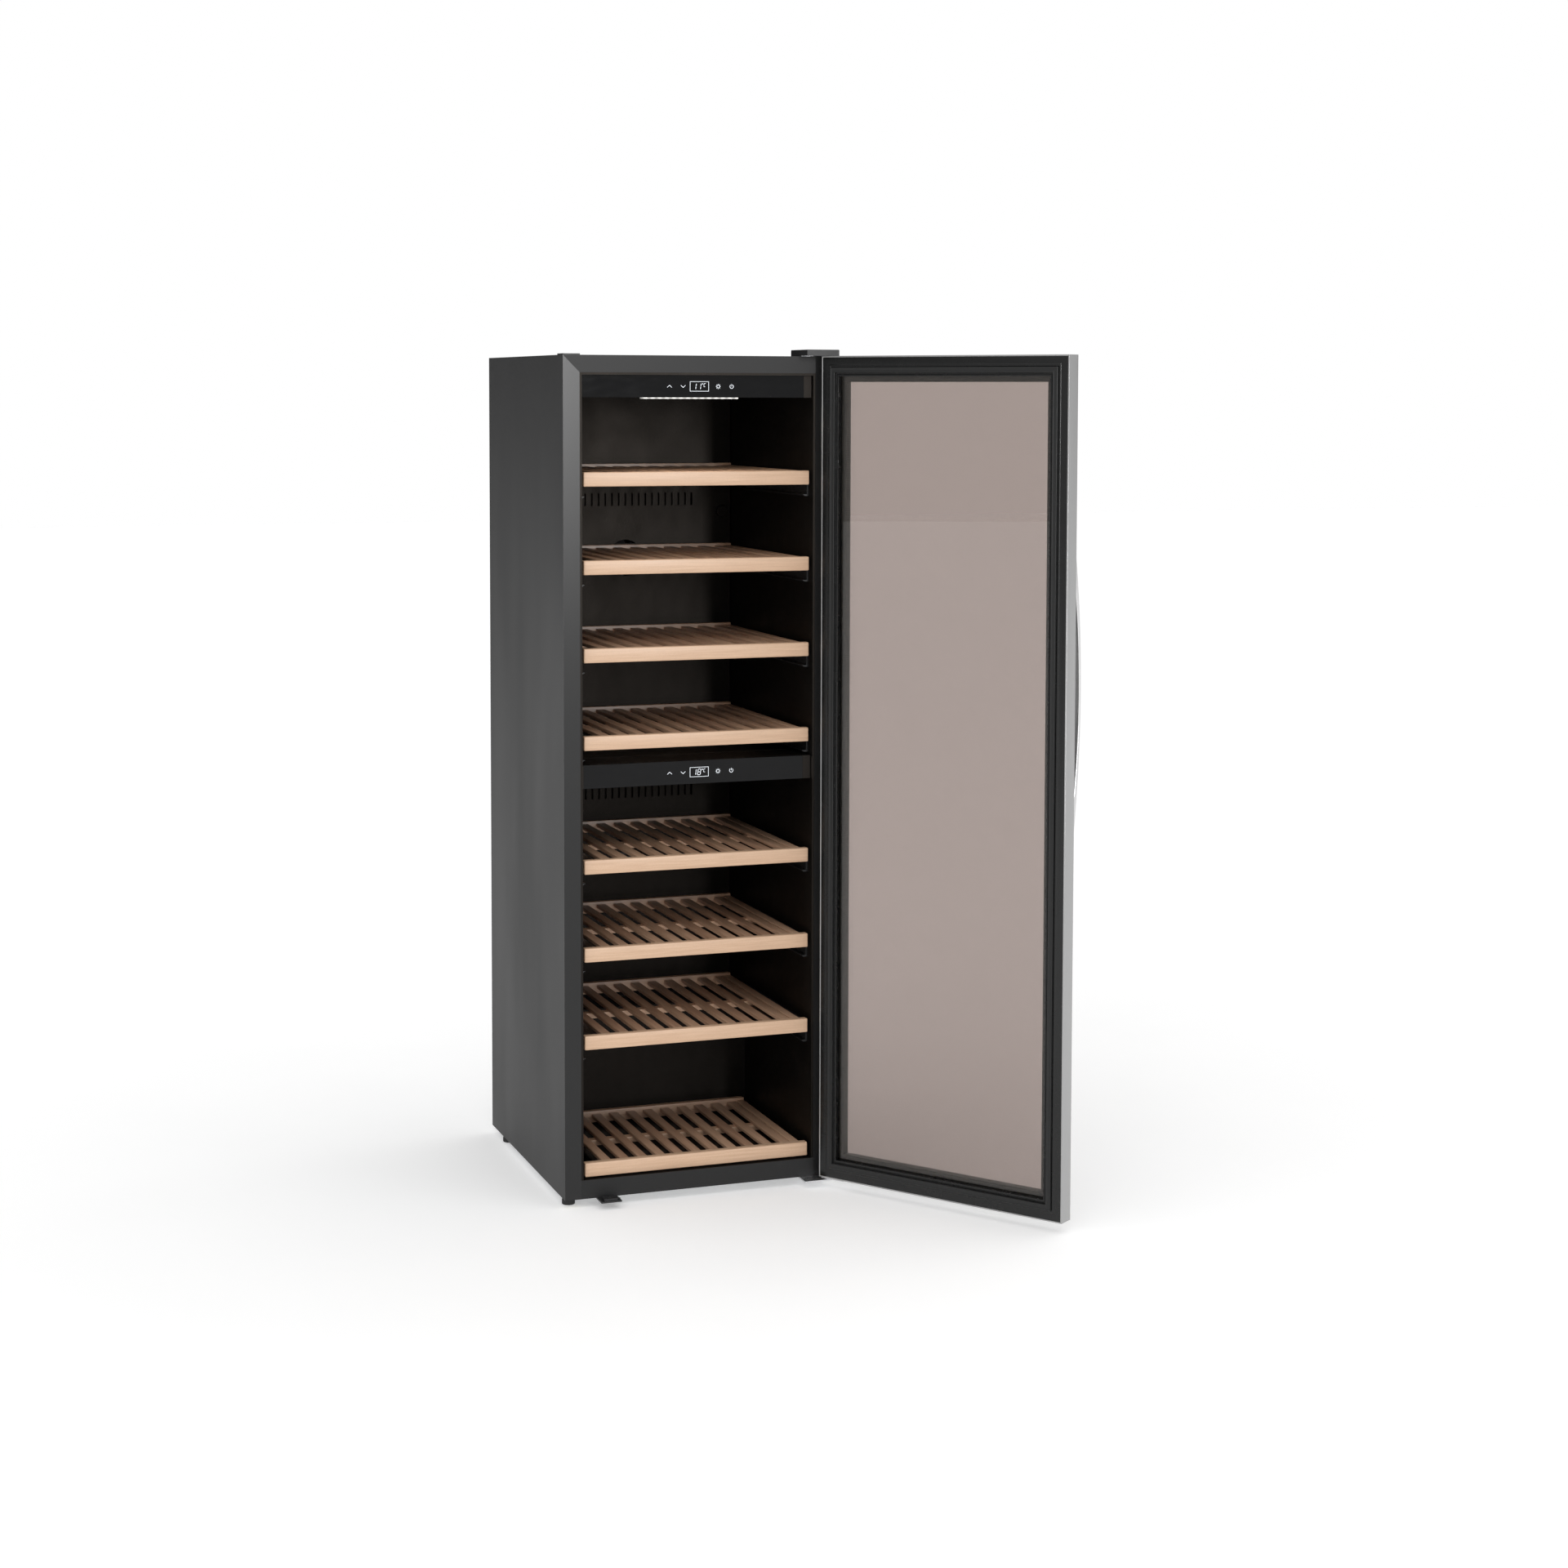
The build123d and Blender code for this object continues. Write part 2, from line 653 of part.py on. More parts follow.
# The pan over the warm compressor evaporates the water that the coils shed.
pan_low = compressor_low + 3 + compressor_h
pan_x, pan_y, pan_h, pan_t = 75.0, 55.0, 22.0, 2.0
with BuildPart() as drain_pan:
    slab(
        compressor_x - pan_x, compressor_x + pan_x, compressor_y - pan_y, compressor_y + pan_y,
        pan_low, pan_low + pan_h,
    )
    slab(
        compressor_x - pan_x + pan_t, compressor_x + pan_x - pan_t,
        compressor_y - pan_y + pan_t, compressor_y + pan_y - pan_t,
        pan_low + pan_t, pan_low + pan_h, Mode.SUBTRACT,
    )
write(drain_pan, "drain_pan")

# Discharge pipe from the compressor to the condenser, and suction pipe up into the foam.
pipe_r = 3.0
pipe_z = compressor_low + 45.0
pipe_x = compressor_x - compressor_l / 2 - pin_clear
suction_z = compressor_low + 105.0
with BuildPart() as refrigerant_pipes:
    with BuildLine():
        FilletPolyline(
            (pipe_x, compressor_y, pipe_z),
            (pipe_x - 30, compressor_y, pipe_z),
            (pipe_x - 30, compressor_y - 40, pipe_z),
            (condenser_x1 - 12, compressor_y - 40, pipe_z),
            radius=12,
        )
    with BuildSketch(Plane(origin=(pipe_x, compressor_y, pipe_z), z_dir=(-1, 0, 0))):
        Circle(pipe_r)
    sweep()
    with BuildLine():
        FilletPolyline(
            (pipe_x, compressor_y, suction_z),
            (pipe_x - 26, compressor_y, suction_z),
            (pipe_x - 26, compressor_y, room_top),
            radius=12,
        )
    with BuildSketch(Plane(origin=(pipe_x, compressor_y, suction_z), z_dir=(-1, 0, 0))):
        Circle(pipe_r)
    sweep()
write(refrigerant_pipes, "refrigerant_pipes")

# The rear cover lets air through rows of slots and holds the mains inlet.
inlet_w, inlet_h, inlet_d = 50.0, 30.0, 24.0
inlet_x, inlet_z = right - 70.0, room_top - 28.0
with BuildPart() as compressor_cover:
    slab(
        left + sheet_t + fit_gap, right - sheet_t - fit_gap, back - sheet_t, back,
        base_top + fit_gap, room_top - fit_gap,
    )
    with BuildSketch(facing_back(back + 1)) as slots:
        with Locations((0, base_top + 110)):
            with GridLocations(60, 14, 8, 8):
                SlotOverall(46, 5)
        with Locations((inlet_x, inlet_z)):
            Rectangle(inlet_w - 10, inlet_h - 4)
    extrude(slots.sketch, amount=sheet_t + 2, mode=Mode.SUBTRACT)
write(compressor_cover, "compressor_cover")

# Three-blade appliance inlet: a flange outside the cover and a socket behind it.
socket_w, socket_h, socket_d = 27.0, 19.0, 16.0
blade_w, blade_h, blade_l = 2.0, 4.0, 9.0
inlet_flange_t = 2.0
with BuildPart() as mains_inlet:
    slab(
        inlet_x - inlet_w / 2, inlet_x + inlet_w / 2, back, back + inlet_flange_t,
        inlet_z - inlet_h / 2, inlet_z + inlet_h / 2,
    )
    slab(
        inlet_x - inlet_w / 2 + 6, inlet_x + inlet_w / 2 - 6, back - inlet_d, back,
        inlet_z - inlet_h / 2 + 3, inlet_z + inlet_h / 2 - 3,
    )
    slab(
        inlet_x - socket_w / 2, inlet_x + socket_w / 2,
        back + inlet_flange_t - socket_d, back + inlet_flange_t,
        inlet_z - socket_h / 2, inlet_z + socket_h / 2, Mode.SUBTRACT,
    )
    for dx, dz in ((-7, -2), (7, -2), (0, 2)):
        slab(
            inlet_x + dx - blade_w / 2, inlet_x + dx + blade_w / 2,
            back + inlet_flange_t - socket_d, back + inlet_flange_t - socket_d + blade_l,
            inlet_z + dz - blade_h / 2, inlet_z + dz + blade_h / 2,
        )
write(mains_inlet, "mains_inlet")

# ================================================================ hinges and brackets
door_clear = door_top - top + 1.2
with BuildPart() as upper_hinge_bracket:
    slab(bracket_x0, bracket_x1, front + 12, front + bracket_back, top, top + bracket_t)
    slab(
        bracket_x0, bracket_x1, bracket_front, front + 20,
        top + door_clear, top + door_clear + bracket_t,
    )
    post(hinge_x, hinge_y, door_top - bush_h - door_skin_t, top + door_clear + 1, pin_r)
    for x, y in upper_screws:
        post(x, y, top - 1, top + bracket_t + 1, screw_r + 0.1, Mode.SUBTRACT)
write(upper_hinge_bracket, "upper_hinge_bracket")

# The lower bracket is screwed under the base, and the door's weight rests on its washer.
plate_low = door_bottom - bracket_t
with BuildPart() as lower_hinge_bracket:
    slab(bracket_x0, bracket_x1, bracket_front, front + bracket_back, under - bracket_t, under)
    post(hinge_x, hinge_y, under, plate_low - fit_gap, washer_r)
    post(hinge_x, hinge_y, under, door_bottom + bush_h + door_skin_t, pin_r)
    for x, y in lower_screws:
        post(x, y, under - bracket_t - 1, under + 1, screw_r + 0.1, Mode.SUBTRACT)
write(lower_hinge_bracket, "lower_hinge_bracket")

# A hollow cover hides the upper bracket, and a flat cap fills the same place on the other side.
cover_x0, cover_x1 = right + 2.0 - cover_w, right + 2.0
cover_y0, cover_y1 = bracket_front - 4.0, front + bracket_back + 5.0
cover_low = door_top + fit_gap
with BuildPart() as hinge_covers:
    slab(cover_x0, cover_x1, cover_y0, cover_y1, cover_low, top + cover_h)
    slab(cover_x0, right, front + 2, cover_y1, top, cover_low + cover_t)
    fillet(hinge_covers.faces().sort_by(Axis.Z)[-1].edges(), 1.5)
    slab(
        cover_x0 + cover_t, cover_x1 - cover_t, cover_y0 + cover_t, cover_y1 - cover_t,
        top - 1, top + cover_h - cover_t, Mode.SUBTRACT,
    )
    slab(left + 2, left + 2 + blank_cap_w, front + 4, front + 50, top, top + blank_cap_h)
write(hinge_covers, "hinge_covers")

# The rest under the left corner takes the shut door's lower edge.
rest_block_h = door_bottom - under - 1.5
with BuildPart() as door_rest_bracket:
    slab(
        rest_x - rest_w / 2, rest_x + rest_w / 2, front - rest_out, front + 40,
        under - bracket_t, under,
    )
    slab(rest_x - 15, rest_x + 15, front - rest_out + 5, front - rest_out + 25, under, under + rest_block_h)
    post(rest_x + rest_w / 2 - 4, front - rest_out + 10, under, under + 3, 3)
    for x, y in rest_screws:
        post(x, y, under - bracket_t - 1, under + 1, screw_r + 0.1, Mode.SUBTRACT)
write(door_rest_bracket, "door_rest_bracket")


def screw(x, y, seat, way):
    """A pan-head screw whose head sits at height seat, with its shank along way * Z."""
    head_far = seat - way * screw_head_h
    tip = seat + way * screw_len
    post(x, y, min(seat, head_far), max(seat, head_far), screw_head_r)
    post(x, y, min(seat, tip), max(seat, tip), screw_r)


with BuildPart() as cabinet_screws:
    for x, y in upper_screws:
        screw(x, y, top + bracket_t, -1)
    for x, y in lower_screws:
        screw(x, y, under - bracket_t, 1)
    for x, y in rest_screws:
        screw(x, y, under - bracket_t, 1)
write(cabinet_screws, "cabinet_screws")

# ================================================================ shelves
front_x = open_x - front_side_gap
shelf_front = panel_front
rail_x1 = front_x - shelf_rail_gap
rail_x0 = rail_x1 - shelf_rail_w
slats_each_side = int((rail_x0 - slat_shift - slat_w / 2) / slat_pitch)
slat_xs = [slat_shift + slat_pitch * i for i in range(-slats_each_side, slats_each_side + 1)]
slats_left = slat_xs[0] - slat_w / 2

shelf_tops = [
    split_high + upper_first_top + upper_pitch * i for i in reversed(range(upper_shelf_count))
]
shelf_tops += [split_low - lower_first_drop - lower_pitch * i for i in range(lower_shelf_count)]
floor_top = floor + floor_shelf_top
carrier_z = slat_drop + slat_t + cross_bar_h    # underside of the wood below the shelf's top
runner_front = shelf_front + front_t + 2.0
runner_len = step_front - runner_back_gap - runner_front


def wood_block(x0, x1, y0, y1, z0, z1):
    """One straight piece of beech, kept as a solid of its own."""
    with BuildPart() as block:
        slab(x0, x1, y0, y1, z0, z1)
    return block.part


def write_shelf(name, z, depth):
    """Beech front, slats, hinge-side rail, cross bar and back rail, glued face to face."""
    wood_front = shelf_front + front_t
    wood_back = shelf_front + depth
    slat_z = z - slat_drop
    low = z - carrier_z
    bar = wood_front + cross_bar_at * depth / shelf_depth
    slat_back = wood_back - back_rail_d
    with BuildPart() as board:
        slab(-front_x, front_x, shelf_front, wood_front, z - front_h, z)
        fillet(board.faces().sort_by(Axis.Y)[0].edges(), front_edge_r)
    pieces = [board.part]
    for x in slat_xs:
        pieces.append(wood_block(x - slat_w / 2, x + slat_w / 2, wood_front, slat_back, slat_z - slat_t, slat_z))
    pieces.append(wood_block(rail_x0, rail_x1, wood_front, slat_back, low, z))
    pieces.append(wood_block(slats_left, rail_x0, bar, bar + cross_bar_d, low, slat_z - slat_t))
    pieces.append(wood_block(slats_left, rail_x1, slat_back, wood_back, low, z + back_rail_rise))
    write_apart(pieces, name)


def span(side, a, b):
    """Low and high x of a piece from a to b in from the liner's wall, on one side."""
    return sorted((side * (open_x - a), side * (open_x - b)))


def runner_pair(z, wall_gap, reach, height):
    """Two channels, open towards the shelf, one on each side of it."""
    mid = z - runner_drop - runner_h / 2
    y1 = runner_front + runner_len
    for side in (-1, 1):
        slab(*span(side, wall_gap, reach), runner_front, y1, mid - height / 2, mid + height / 2)
        slab(
            *span(side, wall_gap + runner_t, reach + 1), runner_front - 1, y1 + 1,
            mid - height / 2 + runner_t, mid + height / 2 - runner_t, Mode.SUBTRACT,
        )


inner_gap = runner_t + runner_gap
inner_reach = runner_depth + 3.0
skid_w = 12.0
with BuildPart() as runner_rails:
    for z in shelf_tops:
        runner_pair(z, 0, runner_depth, runner_h)
    for x in (slats_left + skid_w / 2, rail_x1 - skid_w / 2):
        slab(
            x - skid_w / 2, x + skid_w / 2, shelf_front + front_t + 4,
            shelf_front + floor_shelf_depth, floor, floor_top - carrier_z - fit_gap,
        )
write(runner_rails, "runner_rails")

for i, z in enumerate(shelf_tops, start=1):
    write_shelf(f"shelf_{i}", z, shelf_depth)
    # The sliding half of each runner nests in the fixed half and has a flat foot under the wood.
    with BuildPart() as runners:
        runner_pair(z, inner_gap, inner_reach, runner_h - 2 * inner_gap)
        y0, y1 = runner_front, runner_front + runner_len
        for side in (-1, 1):
            slab(*span(side, inner_gap, carrier_w), y0, y1, z - carrier_z - runner_t, z - carrier_z)
    write(runners, f"shelf_{i}_runners")

write_shelf(f"shelf_{len(shelf_tops) + 1}", floor_top, floor_shelf_depth)

# ================================================================ door
# Four mitred bars of folded metal, each with a side wall and a face round the glass.
corners = ((0, door_bottom), (body_w, door_bottom), (body_w, door_top), (0, door_top))
glass_corners = (
    (door_face_w, door_bottom + door_face_w), (body_w - door_face_w, door_bottom + door_face_w),
    (body_w - door_face_w, door_top - door_face_w), (door_face_w, door_top - door_face_w),
)
handle_z = under + handle_mid
handle_screw_zs = (
    handle_z - handle_len / 2 + handle_foot_len / 2, handle_z + handle_len / 2 - handle_foot_len / 2,
)


def door_round(x, z, d0, d1, r, mode=Mode.ADD):
    """A round bar or hole square to the door's faces."""
    with BuildSketch(door_plane(d0)) as outline:
        with Locations((x, z)):
            Circle(r)
    extrude(outline.sketch, amount=d1 - d0, mode=mode)


bars = []
for i in range(4):
    j = (i + 1) % 4
    with BuildPart() as bar:
        with BuildSketch(door_plane(0)) as outline:
            with BuildLine():
                Polyline(corners[i], corners[j], glass_corners[j], glass_corners[i], close=True)
            make_face()
        extrude(outline.sketch, amount=door_t)
        door_slab(
            door_skin_t, body_w - door_skin_t, door_bottom + door_skin_t, door_top - door_skin_t,
            -1, door_t - door_face_t, Mode.SUBTRACT,
        )
        post(hinge_x, hinge_y, door_top - 2 * door_skin_t, door_top + 1, pin_r + 1, Mode.SUBTRACT)
        post(hinge_x, hinge_y, door_bottom - 1, door_bottom + 2 * door_skin_t, boss_r, Mode.SUBTRACT)
        for z in handle_screw_zs:
            door_round(handle_screw_in, z, 0, door_t + 1, handle_screw_r, Mode.SUBTRACT)
    bars.append(bar.part)
write_apart(bars, "door_frame")

# The black inner frame clips inside the metal one, carries the gasket and clamps the glass.
frame_d = door_t - door_face_t - 2 * pane_t - spacer_d
gasket_foot_at = gasket_at + (gasket_w - gasket_foot_w) / 2
with BuildPart() as door_inner_frame:
    door_ring(door_skin_t, frame_w - door_skin_t, 0, frame_d)
    door_ring(ridge_at, ridge_w, -ridge_h, 0)
    door_ring(gasket_foot_at, gasket_foot_w, -1, gasket_foot_d, Mode.SUBTRACT)
write(door_inner_frame, "door_inner_frame")

with BuildPart() as door_gasket:
    door_ring(gasket_at, gasket_w, gasket_clear - door_gap, 0)
    door_ring(gasket_foot_at, gasket_foot_w, 0, gasket_foot_d)
write(door_gasket, "door_gasket")

pane = (pane_edge, body_w - pane_edge, door_bottom + pane_edge, door_top - pane_edge)
with BuildPart() as door_glass_panes:
    for d in (frame_d, frame_d + pane_t + spacer_d):
        door_slab(*pane, d, d + pane_t)
write(door_glass_panes, "door_glass_panes")

with BuildPart() as door_glass_spacer:
    door_ring(frame_w, spacer_w, frame_d + pane_t, frame_d + pane_t + spacer_d)
write(door_glass_spacer, "door_glass_spacer")

# The upper hinge bush fills the frame's corner, and the lower plate is screwed under the frame.
hinge_x_in_door = body_w - hinge_in
with BuildPart() as door_hinge_plates:
    door_slab(
        hinge_x_in_door - bush_w / 2, body_w - door_skin_t,
        door_top - door_skin_t - bush_h, door_top - door_skin_t,
        hinge_out - bush_w / 2 + 1, hinge_out + bush_w / 2 - 1,
    )
    door_slab(
        body_w - hinge_plate_in - hinge_plate_len, body_w - hinge_plate_in,
        door_bottom - bracket_t, door_bottom, hinge_plate_in, door_t - hinge_plate_in,
    )
    post(hinge_x, hinge_y, door_bottom, door_bottom + door_skin_t + bush_h, boss_r)
    post(hinge_x, hinge_y, under, door_top, pin_r + pin_clear, Mode.SUBTRACT)
write(door_hinge_plates, "door_hinge_plates")

# The handle is a bowed strip whose ends thicken into feet on the frame's face.
inner_face = door_plane(0)
handle_side = Plane(
    origin=inner_face.from_local_coords((handle_in + handle_w, 0, 0)),
    x_dir=inner_face.z_dir,
    z_dir=-inner_face.x_dir,
)
grip_half = handle_len / 2 - handle_foot_len
with BuildPart() as door_handle:
    with BuildSketch(handle_side) as bow:
        with BuildLine():
            ThreePointArc(
                (door_t, handle_z - handle_len / 2),
                (door_t + handle_rise, handle_z),
                (door_t, handle_z + handle_len / 2),
            )
            Line((door_t, handle_z + handle_len / 2), (door_t, handle_z - handle_len / 2))
        make_face()
        with BuildLine():
            ThreePointArc(
                (door_t - 1, handle_z - grip_half),
                (door_t + handle_rise - handle_t, handle_z),
                (door_t - 1, handle_z + grip_half),
            )
            Line((door_t - 1, handle_z + grip_half), (door_t - 1, handle_z - grip_half))
        make_face(mode=Mode.SUBTRACT)
    extrude(bow.sketch, amount=handle_w)
    for z in handle_screw_zs:
        door_round(handle_screw_in, z, door_t, door_t + handle_screw_bite, handle_screw_r, Mode.SUBTRACT)
write(door_handle, "door_handle")

with BuildPart() as door_handle_screws:
    for z in handle_screw_zs:
        door_round(
            handle_screw_in, z, door_t - door_face_t - screw_head_h, door_t - door_face_t, handle_screw_head_r,
        )
        door_round(
            handle_screw_in, z, door_t - door_face_t, door_t + handle_screw_bite, handle_screw_r,
        )
write(door_handle_screws, "door_handle_screws")
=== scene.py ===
import json
import math
import bmesh
import bpy
import numpy as np
from mathutils import Matrix, Vector


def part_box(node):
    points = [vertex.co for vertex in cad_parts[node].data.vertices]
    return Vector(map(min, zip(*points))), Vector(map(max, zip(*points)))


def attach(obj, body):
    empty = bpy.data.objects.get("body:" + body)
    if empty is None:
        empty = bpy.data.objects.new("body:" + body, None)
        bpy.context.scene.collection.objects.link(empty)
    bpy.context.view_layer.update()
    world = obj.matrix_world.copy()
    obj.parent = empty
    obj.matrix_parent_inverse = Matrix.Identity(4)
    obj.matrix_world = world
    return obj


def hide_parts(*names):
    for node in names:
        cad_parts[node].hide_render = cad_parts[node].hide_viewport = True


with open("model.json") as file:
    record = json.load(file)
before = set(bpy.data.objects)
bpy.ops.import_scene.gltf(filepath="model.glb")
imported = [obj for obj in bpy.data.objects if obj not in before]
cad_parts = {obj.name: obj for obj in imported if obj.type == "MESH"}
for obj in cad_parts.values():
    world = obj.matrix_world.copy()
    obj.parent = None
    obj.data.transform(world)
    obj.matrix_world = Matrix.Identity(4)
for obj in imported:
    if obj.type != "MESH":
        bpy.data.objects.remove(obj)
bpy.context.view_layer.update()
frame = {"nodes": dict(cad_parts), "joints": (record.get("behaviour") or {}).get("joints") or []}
nodes = frame["nodes"]

# ---------------------------------------------------------------- studio
# A wide white floor that glows softly, in a room with white walls in front and dim ones behind.
# A narrow strip light shines in the front flanges. The camera stands in front, to the left.
cabinet_low, cabinet_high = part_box("side_panel_left")[0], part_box("side_panel_right")[1]
middle_x, middle_y = (cabinet_low.x + cabinet_high.x) / 2, (cabinet_low.y + cabinet_high.y) / 2
ground_middle = Vector((middle_x, middle_y, 0))
camera_at = ground_middle + Vector((-1.79019, -5.74968, 1.71984))
camera_yaw, camera_pitch, camera_roll = 20.0298, -3.7715, 0.1457    # degrees
lens, sensor, lens_shift = 62.2097, 36.0, -0.135417
room_dim, room_bright, wall_towards = 0.05, 0.74, (0.3, -0.95, 0.0)
dim_until, bright_from = -0.9, 0.3      # how far a direction faces the bright wall
key_level, sun_level, strip_level, floor_glow = 24.0, 1.0, 190.0, 0.27
floor_size = 60.0


def aim(yaw, pitch, roll):
    """Camera axes: forward from yaw and pitch, right square to it and level, both turned by roll."""
    yaw, pitch, roll = (math.radians(v) for v in (yaw, pitch, roll))
    forward = Vector((math.sin(yaw) * math.cos(pitch), math.cos(yaw) * math.cos(pitch), math.sin(pitch)))
    level = Vector((math.cos(yaw), -math.sin(yaw), 0))
    raised = level.cross(forward)
    right = math.cos(roll) * level + math.sin(roll) * raised
    up = math.cos(roll) * raised - math.sin(roll) * level
    return Matrix((right, up, -forward)).transposed().to_4x4()


scene = bpy.context.scene
scene.view_settings.view_transform = "Standard"
camera_data = bpy.data.cameras.new("camera")
camera_data.lens, camera_data.sensor_width, camera_data.shift_y = lens, sensor, lens_shift
camera_data.clip_end = 200
camera = bpy.data.objects.new("camera", camera_data)
camera.matrix_world = Matrix.Translation(camera_at) @ aim(camera_yaw, camera_pitch, camera_roll)
scene.collection.objects.link(camera)
scene.camera = camera

# The background is plain white where it is seen, directly or through glass. What it lights and
# what shines in the object is dim on one side and bright on the other.
room = bpy.data.worlds.new("studio")
room.use_nodes = True
room_tree = room.node_tree
direction = room_tree.nodes.new("ShaderNodeTexCoord")
facing = room_tree.nodes.new("ShaderNodeVectorMath")
facing.operation = "DOT_PRODUCT"
facing.inputs[1].default_value = wall_towards
room_tree.links.new(direction.outputs["Generated"], facing.inputs[0])
level = room_tree.nodes.new("ShaderNodeMapRange")
level.interpolation_type = "SMOOTHSTEP"
room_range = {"From Min": dim_until, "From Max": bright_from, "To Min": room_dim, "To Max": room_bright}
for key, value in room_range.items():
    level.inputs[key].default_value = value
room_tree.links.new(facing.outputs["Value"], level.inputs["Value"])
ray = room_tree.nodes.new("ShaderNodeLightPath")
brightest = level.outputs["Result"]
for seen in ("Is Camera Ray", "Is Transmission Ray"):
    either = room_tree.nodes.new("ShaderNodeMath")
    either.operation = "MAXIMUM"
    room_tree.links.new(brightest, either.inputs[0])
    room_tree.links.new(ray.outputs[seen], either.inputs[1])
    brightest = either.outputs[0]
room_tree.links.new(brightest, room_tree.nodes["Background"].inputs["Strength"])
room_tree.nodes["Background"].inputs["Color"].default_value = (1, 1, 1, 1)
scene.world = room


def soft_light(name, place, target, width, height, power):
    """A rectangular area light, its place and target given from the ground under the cabinet."""
    data = bpy.data.lights.new(name, "AREA")
    data.shape = "RECTANGLE"
    data.size, data.size_y, data.energy = width, height, power
    light = bpy.data.objects.new(name, data)
    light.location = ground_middle + Vector(place)
    light.rotation_euler = (Vector(target) - Vector(place)).to_track_quat("-Z", "Y").to_euler()
    light.visible_camera = light.visible_transmission = False
    scene.collection.objects.link(light)
    return light


soft_light("key", (-2.65, -5.45, 2.6), (0.0, 0.0, 0.9), 2.4, 2.4, key_level)
strip = soft_light("strip", (0.8, -5.65, 2.55), (-0.25, -0.25, 1.6), 0.3, 2.3, strip_level)
strip.visible_diffuse = False
sun_data = bpy.data.lights.new("overhead", "SUN")
sun_data.energy, sun_data.angle = sun_level, math.radians(120)
sun = bpy.data.objects.new("overhead", sun_data)
scene.collection.objects.link(sun)


# Material helpers: a shader with its even values set, and one texture node with its inputs.
def material(name, colour, roughness, metallic=0.0, **sockets):
    """A Principled material. Other sockets are named with underscores for spaces."""
    made = bpy.data.materials.new(name)
    made.use_nodes = True
    shader = made.node_tree.nodes["Principled BSDF"]
    values = {"Base Color": (*colour, 1), "Roughness": roughness, "Metallic": metallic}
    values.update({key.replace("_", " "): value for key, value in sockets.items()})
    for key, value in values.items():
        shader.inputs[key].default_value = value
    return made


def node(made, kind, inputs, **settings):
    """One node; an input that is an output socket is linked, any other is a plain value."""
    tree = made.node_tree
    new = tree.nodes.new("ShaderNode" + kind)
    for key, value in settings.items():
        setattr(new, key, value)
    for key, value in inputs.items():
        if isinstance(value, bpy.types.NodeSocket):
            tree.links.new(value, new.inputs[key])
        else:
            new.inputs[key].default_value = value
    return new


def shade(made, key, socket):
    """Links a socket into the material's shader."""
    made.node_tree.links.new(socket, made.node_tree.nodes["Principled BSDF"].inputs[key])


def place_of(made, kind="Object", stretch=(1, 1, 1)):
    """Object or UV coordinates, stretched along each axis."""
    source = node(made, "TexCoord", {}).outputs[kind]
    return node(made, "Mapping", {"Vector": source, "Scale": stretch}).outputs["Vector"]


def noise(made, vector, scale, detail=3.0, roughness=0.5):
    """Fractal noise, from 0 to 1."""
    inputs = {"Vector": vector, "Scale": scale, "Detail": detail, "Roughness": roughness}
    return node(made, "TexNoise", inputs).outputs["Fac"]


def spread(made, value, low, high, from_low=0.3, from_high=0.7):
    """Rescales a value to a range; an end of the range may be an output socket."""
    inputs = {"Value": value, "From Min": from_low, "From Max": from_high, "To Min": low, "To Max": high}
    return node(made, "MapRange", inputs).outputs["Result"]


def blended(made, factor, first, second):
    """Two colours or sockets, mixed by a factor."""
    mix = node(made, "Mix", {}, data_type="RGBA")
    sockets = {key: [s for s in mix.inputs if s.name == key and s.enabled][0] for key in ("Factor", "A", "B")}
    for key, value in (("Factor", factor), ("A", first), ("B", second)):
        if isinstance(value, bpy.types.NodeSocket):
            made.node_tree.links.new(value, sockets[key])
        else:
            sockets[key].default_value = value if key == "Factor" else (*value, 1)
    return [s for s in mix.outputs if s.enabled][0]


def relief(made, height, depth, strength):
    """Bump of a given depth in metres."""
    bump = node(made, "Bump", {"Height": height, "Distance": depth, "Strength": strength})
    shade(made, "Normal", bump.outputs["Normal"])


def dress(made, *names):
    """Gives CAD nodes their finish."""
    for name in names:
        nodes[name].data.materials.clear()
        nodes[name].data.materials.append(made)


bpy.ops.mesh.primitive_grid_add(x_subdivisions=4, y_subdivisions=4, size=floor_size)
floor = bpy.context.active_object
floor.name = "studio_floor"
floor_paint = material(
    "floor_paint", (0.93, 0.93, 0.93), 0.7, Specular_IOR_Level=0.1, Emission_Color=(1, 1, 1, 1),
    Emission_Strength=floor_glow,
)
floor_cloud = noise(floor_paint, place_of(floor_paint), 3.0)
shade(floor_paint, "Roughness", spread(floor_paint, floor_cloud, 0.62, 0.75))
floor.data.materials.append(floor_paint)

# ---------------------------------------------------------------- outer panels
# Two sides, a top and a bottom rail, each folded from one sheet of cold-rolled steel and powder
# coated dark grey. The sides and the top meet at 45 degrees at the front and are screwed behind.
panel_paint = material("panel_paint", (0.016, 0.016, 0.0163), 0.42, Specular_IOR_Level=0.3)
peel = noise(panel_paint, place_of(panel_paint), 900.0, 2.0)
cloud = noise(panel_paint, place_of(panel_paint, stretch=(1, 1, 0.25)), 5.0, 2.0)
panel_y = node(panel_paint, "SeparateXYZ", {"Vector": place_of(panel_paint)}).outputs["Y"]
flange_y = cabinet_low.y
flange_rough, flange_end, side_start = 0.3, flange_y + 0.0004, flange_y + 0.0008
flat_rough = spread(panel_paint, cloud, 0.46, 0.54)
shade(panel_paint, "Roughness", spread(
    panel_paint, panel_y, flange_rough, flat_rough, flange_end, side_start,
))
tint = blended(
    panel_paint, spread(panel_paint, cloud, 0, 1), (0.015, 0.015, 0.0153), (0.019, 0.019, 0.0194),
)
shade(panel_paint, "Base Color", tint)
relief(panel_paint, peel, 0.00004, 0.5)
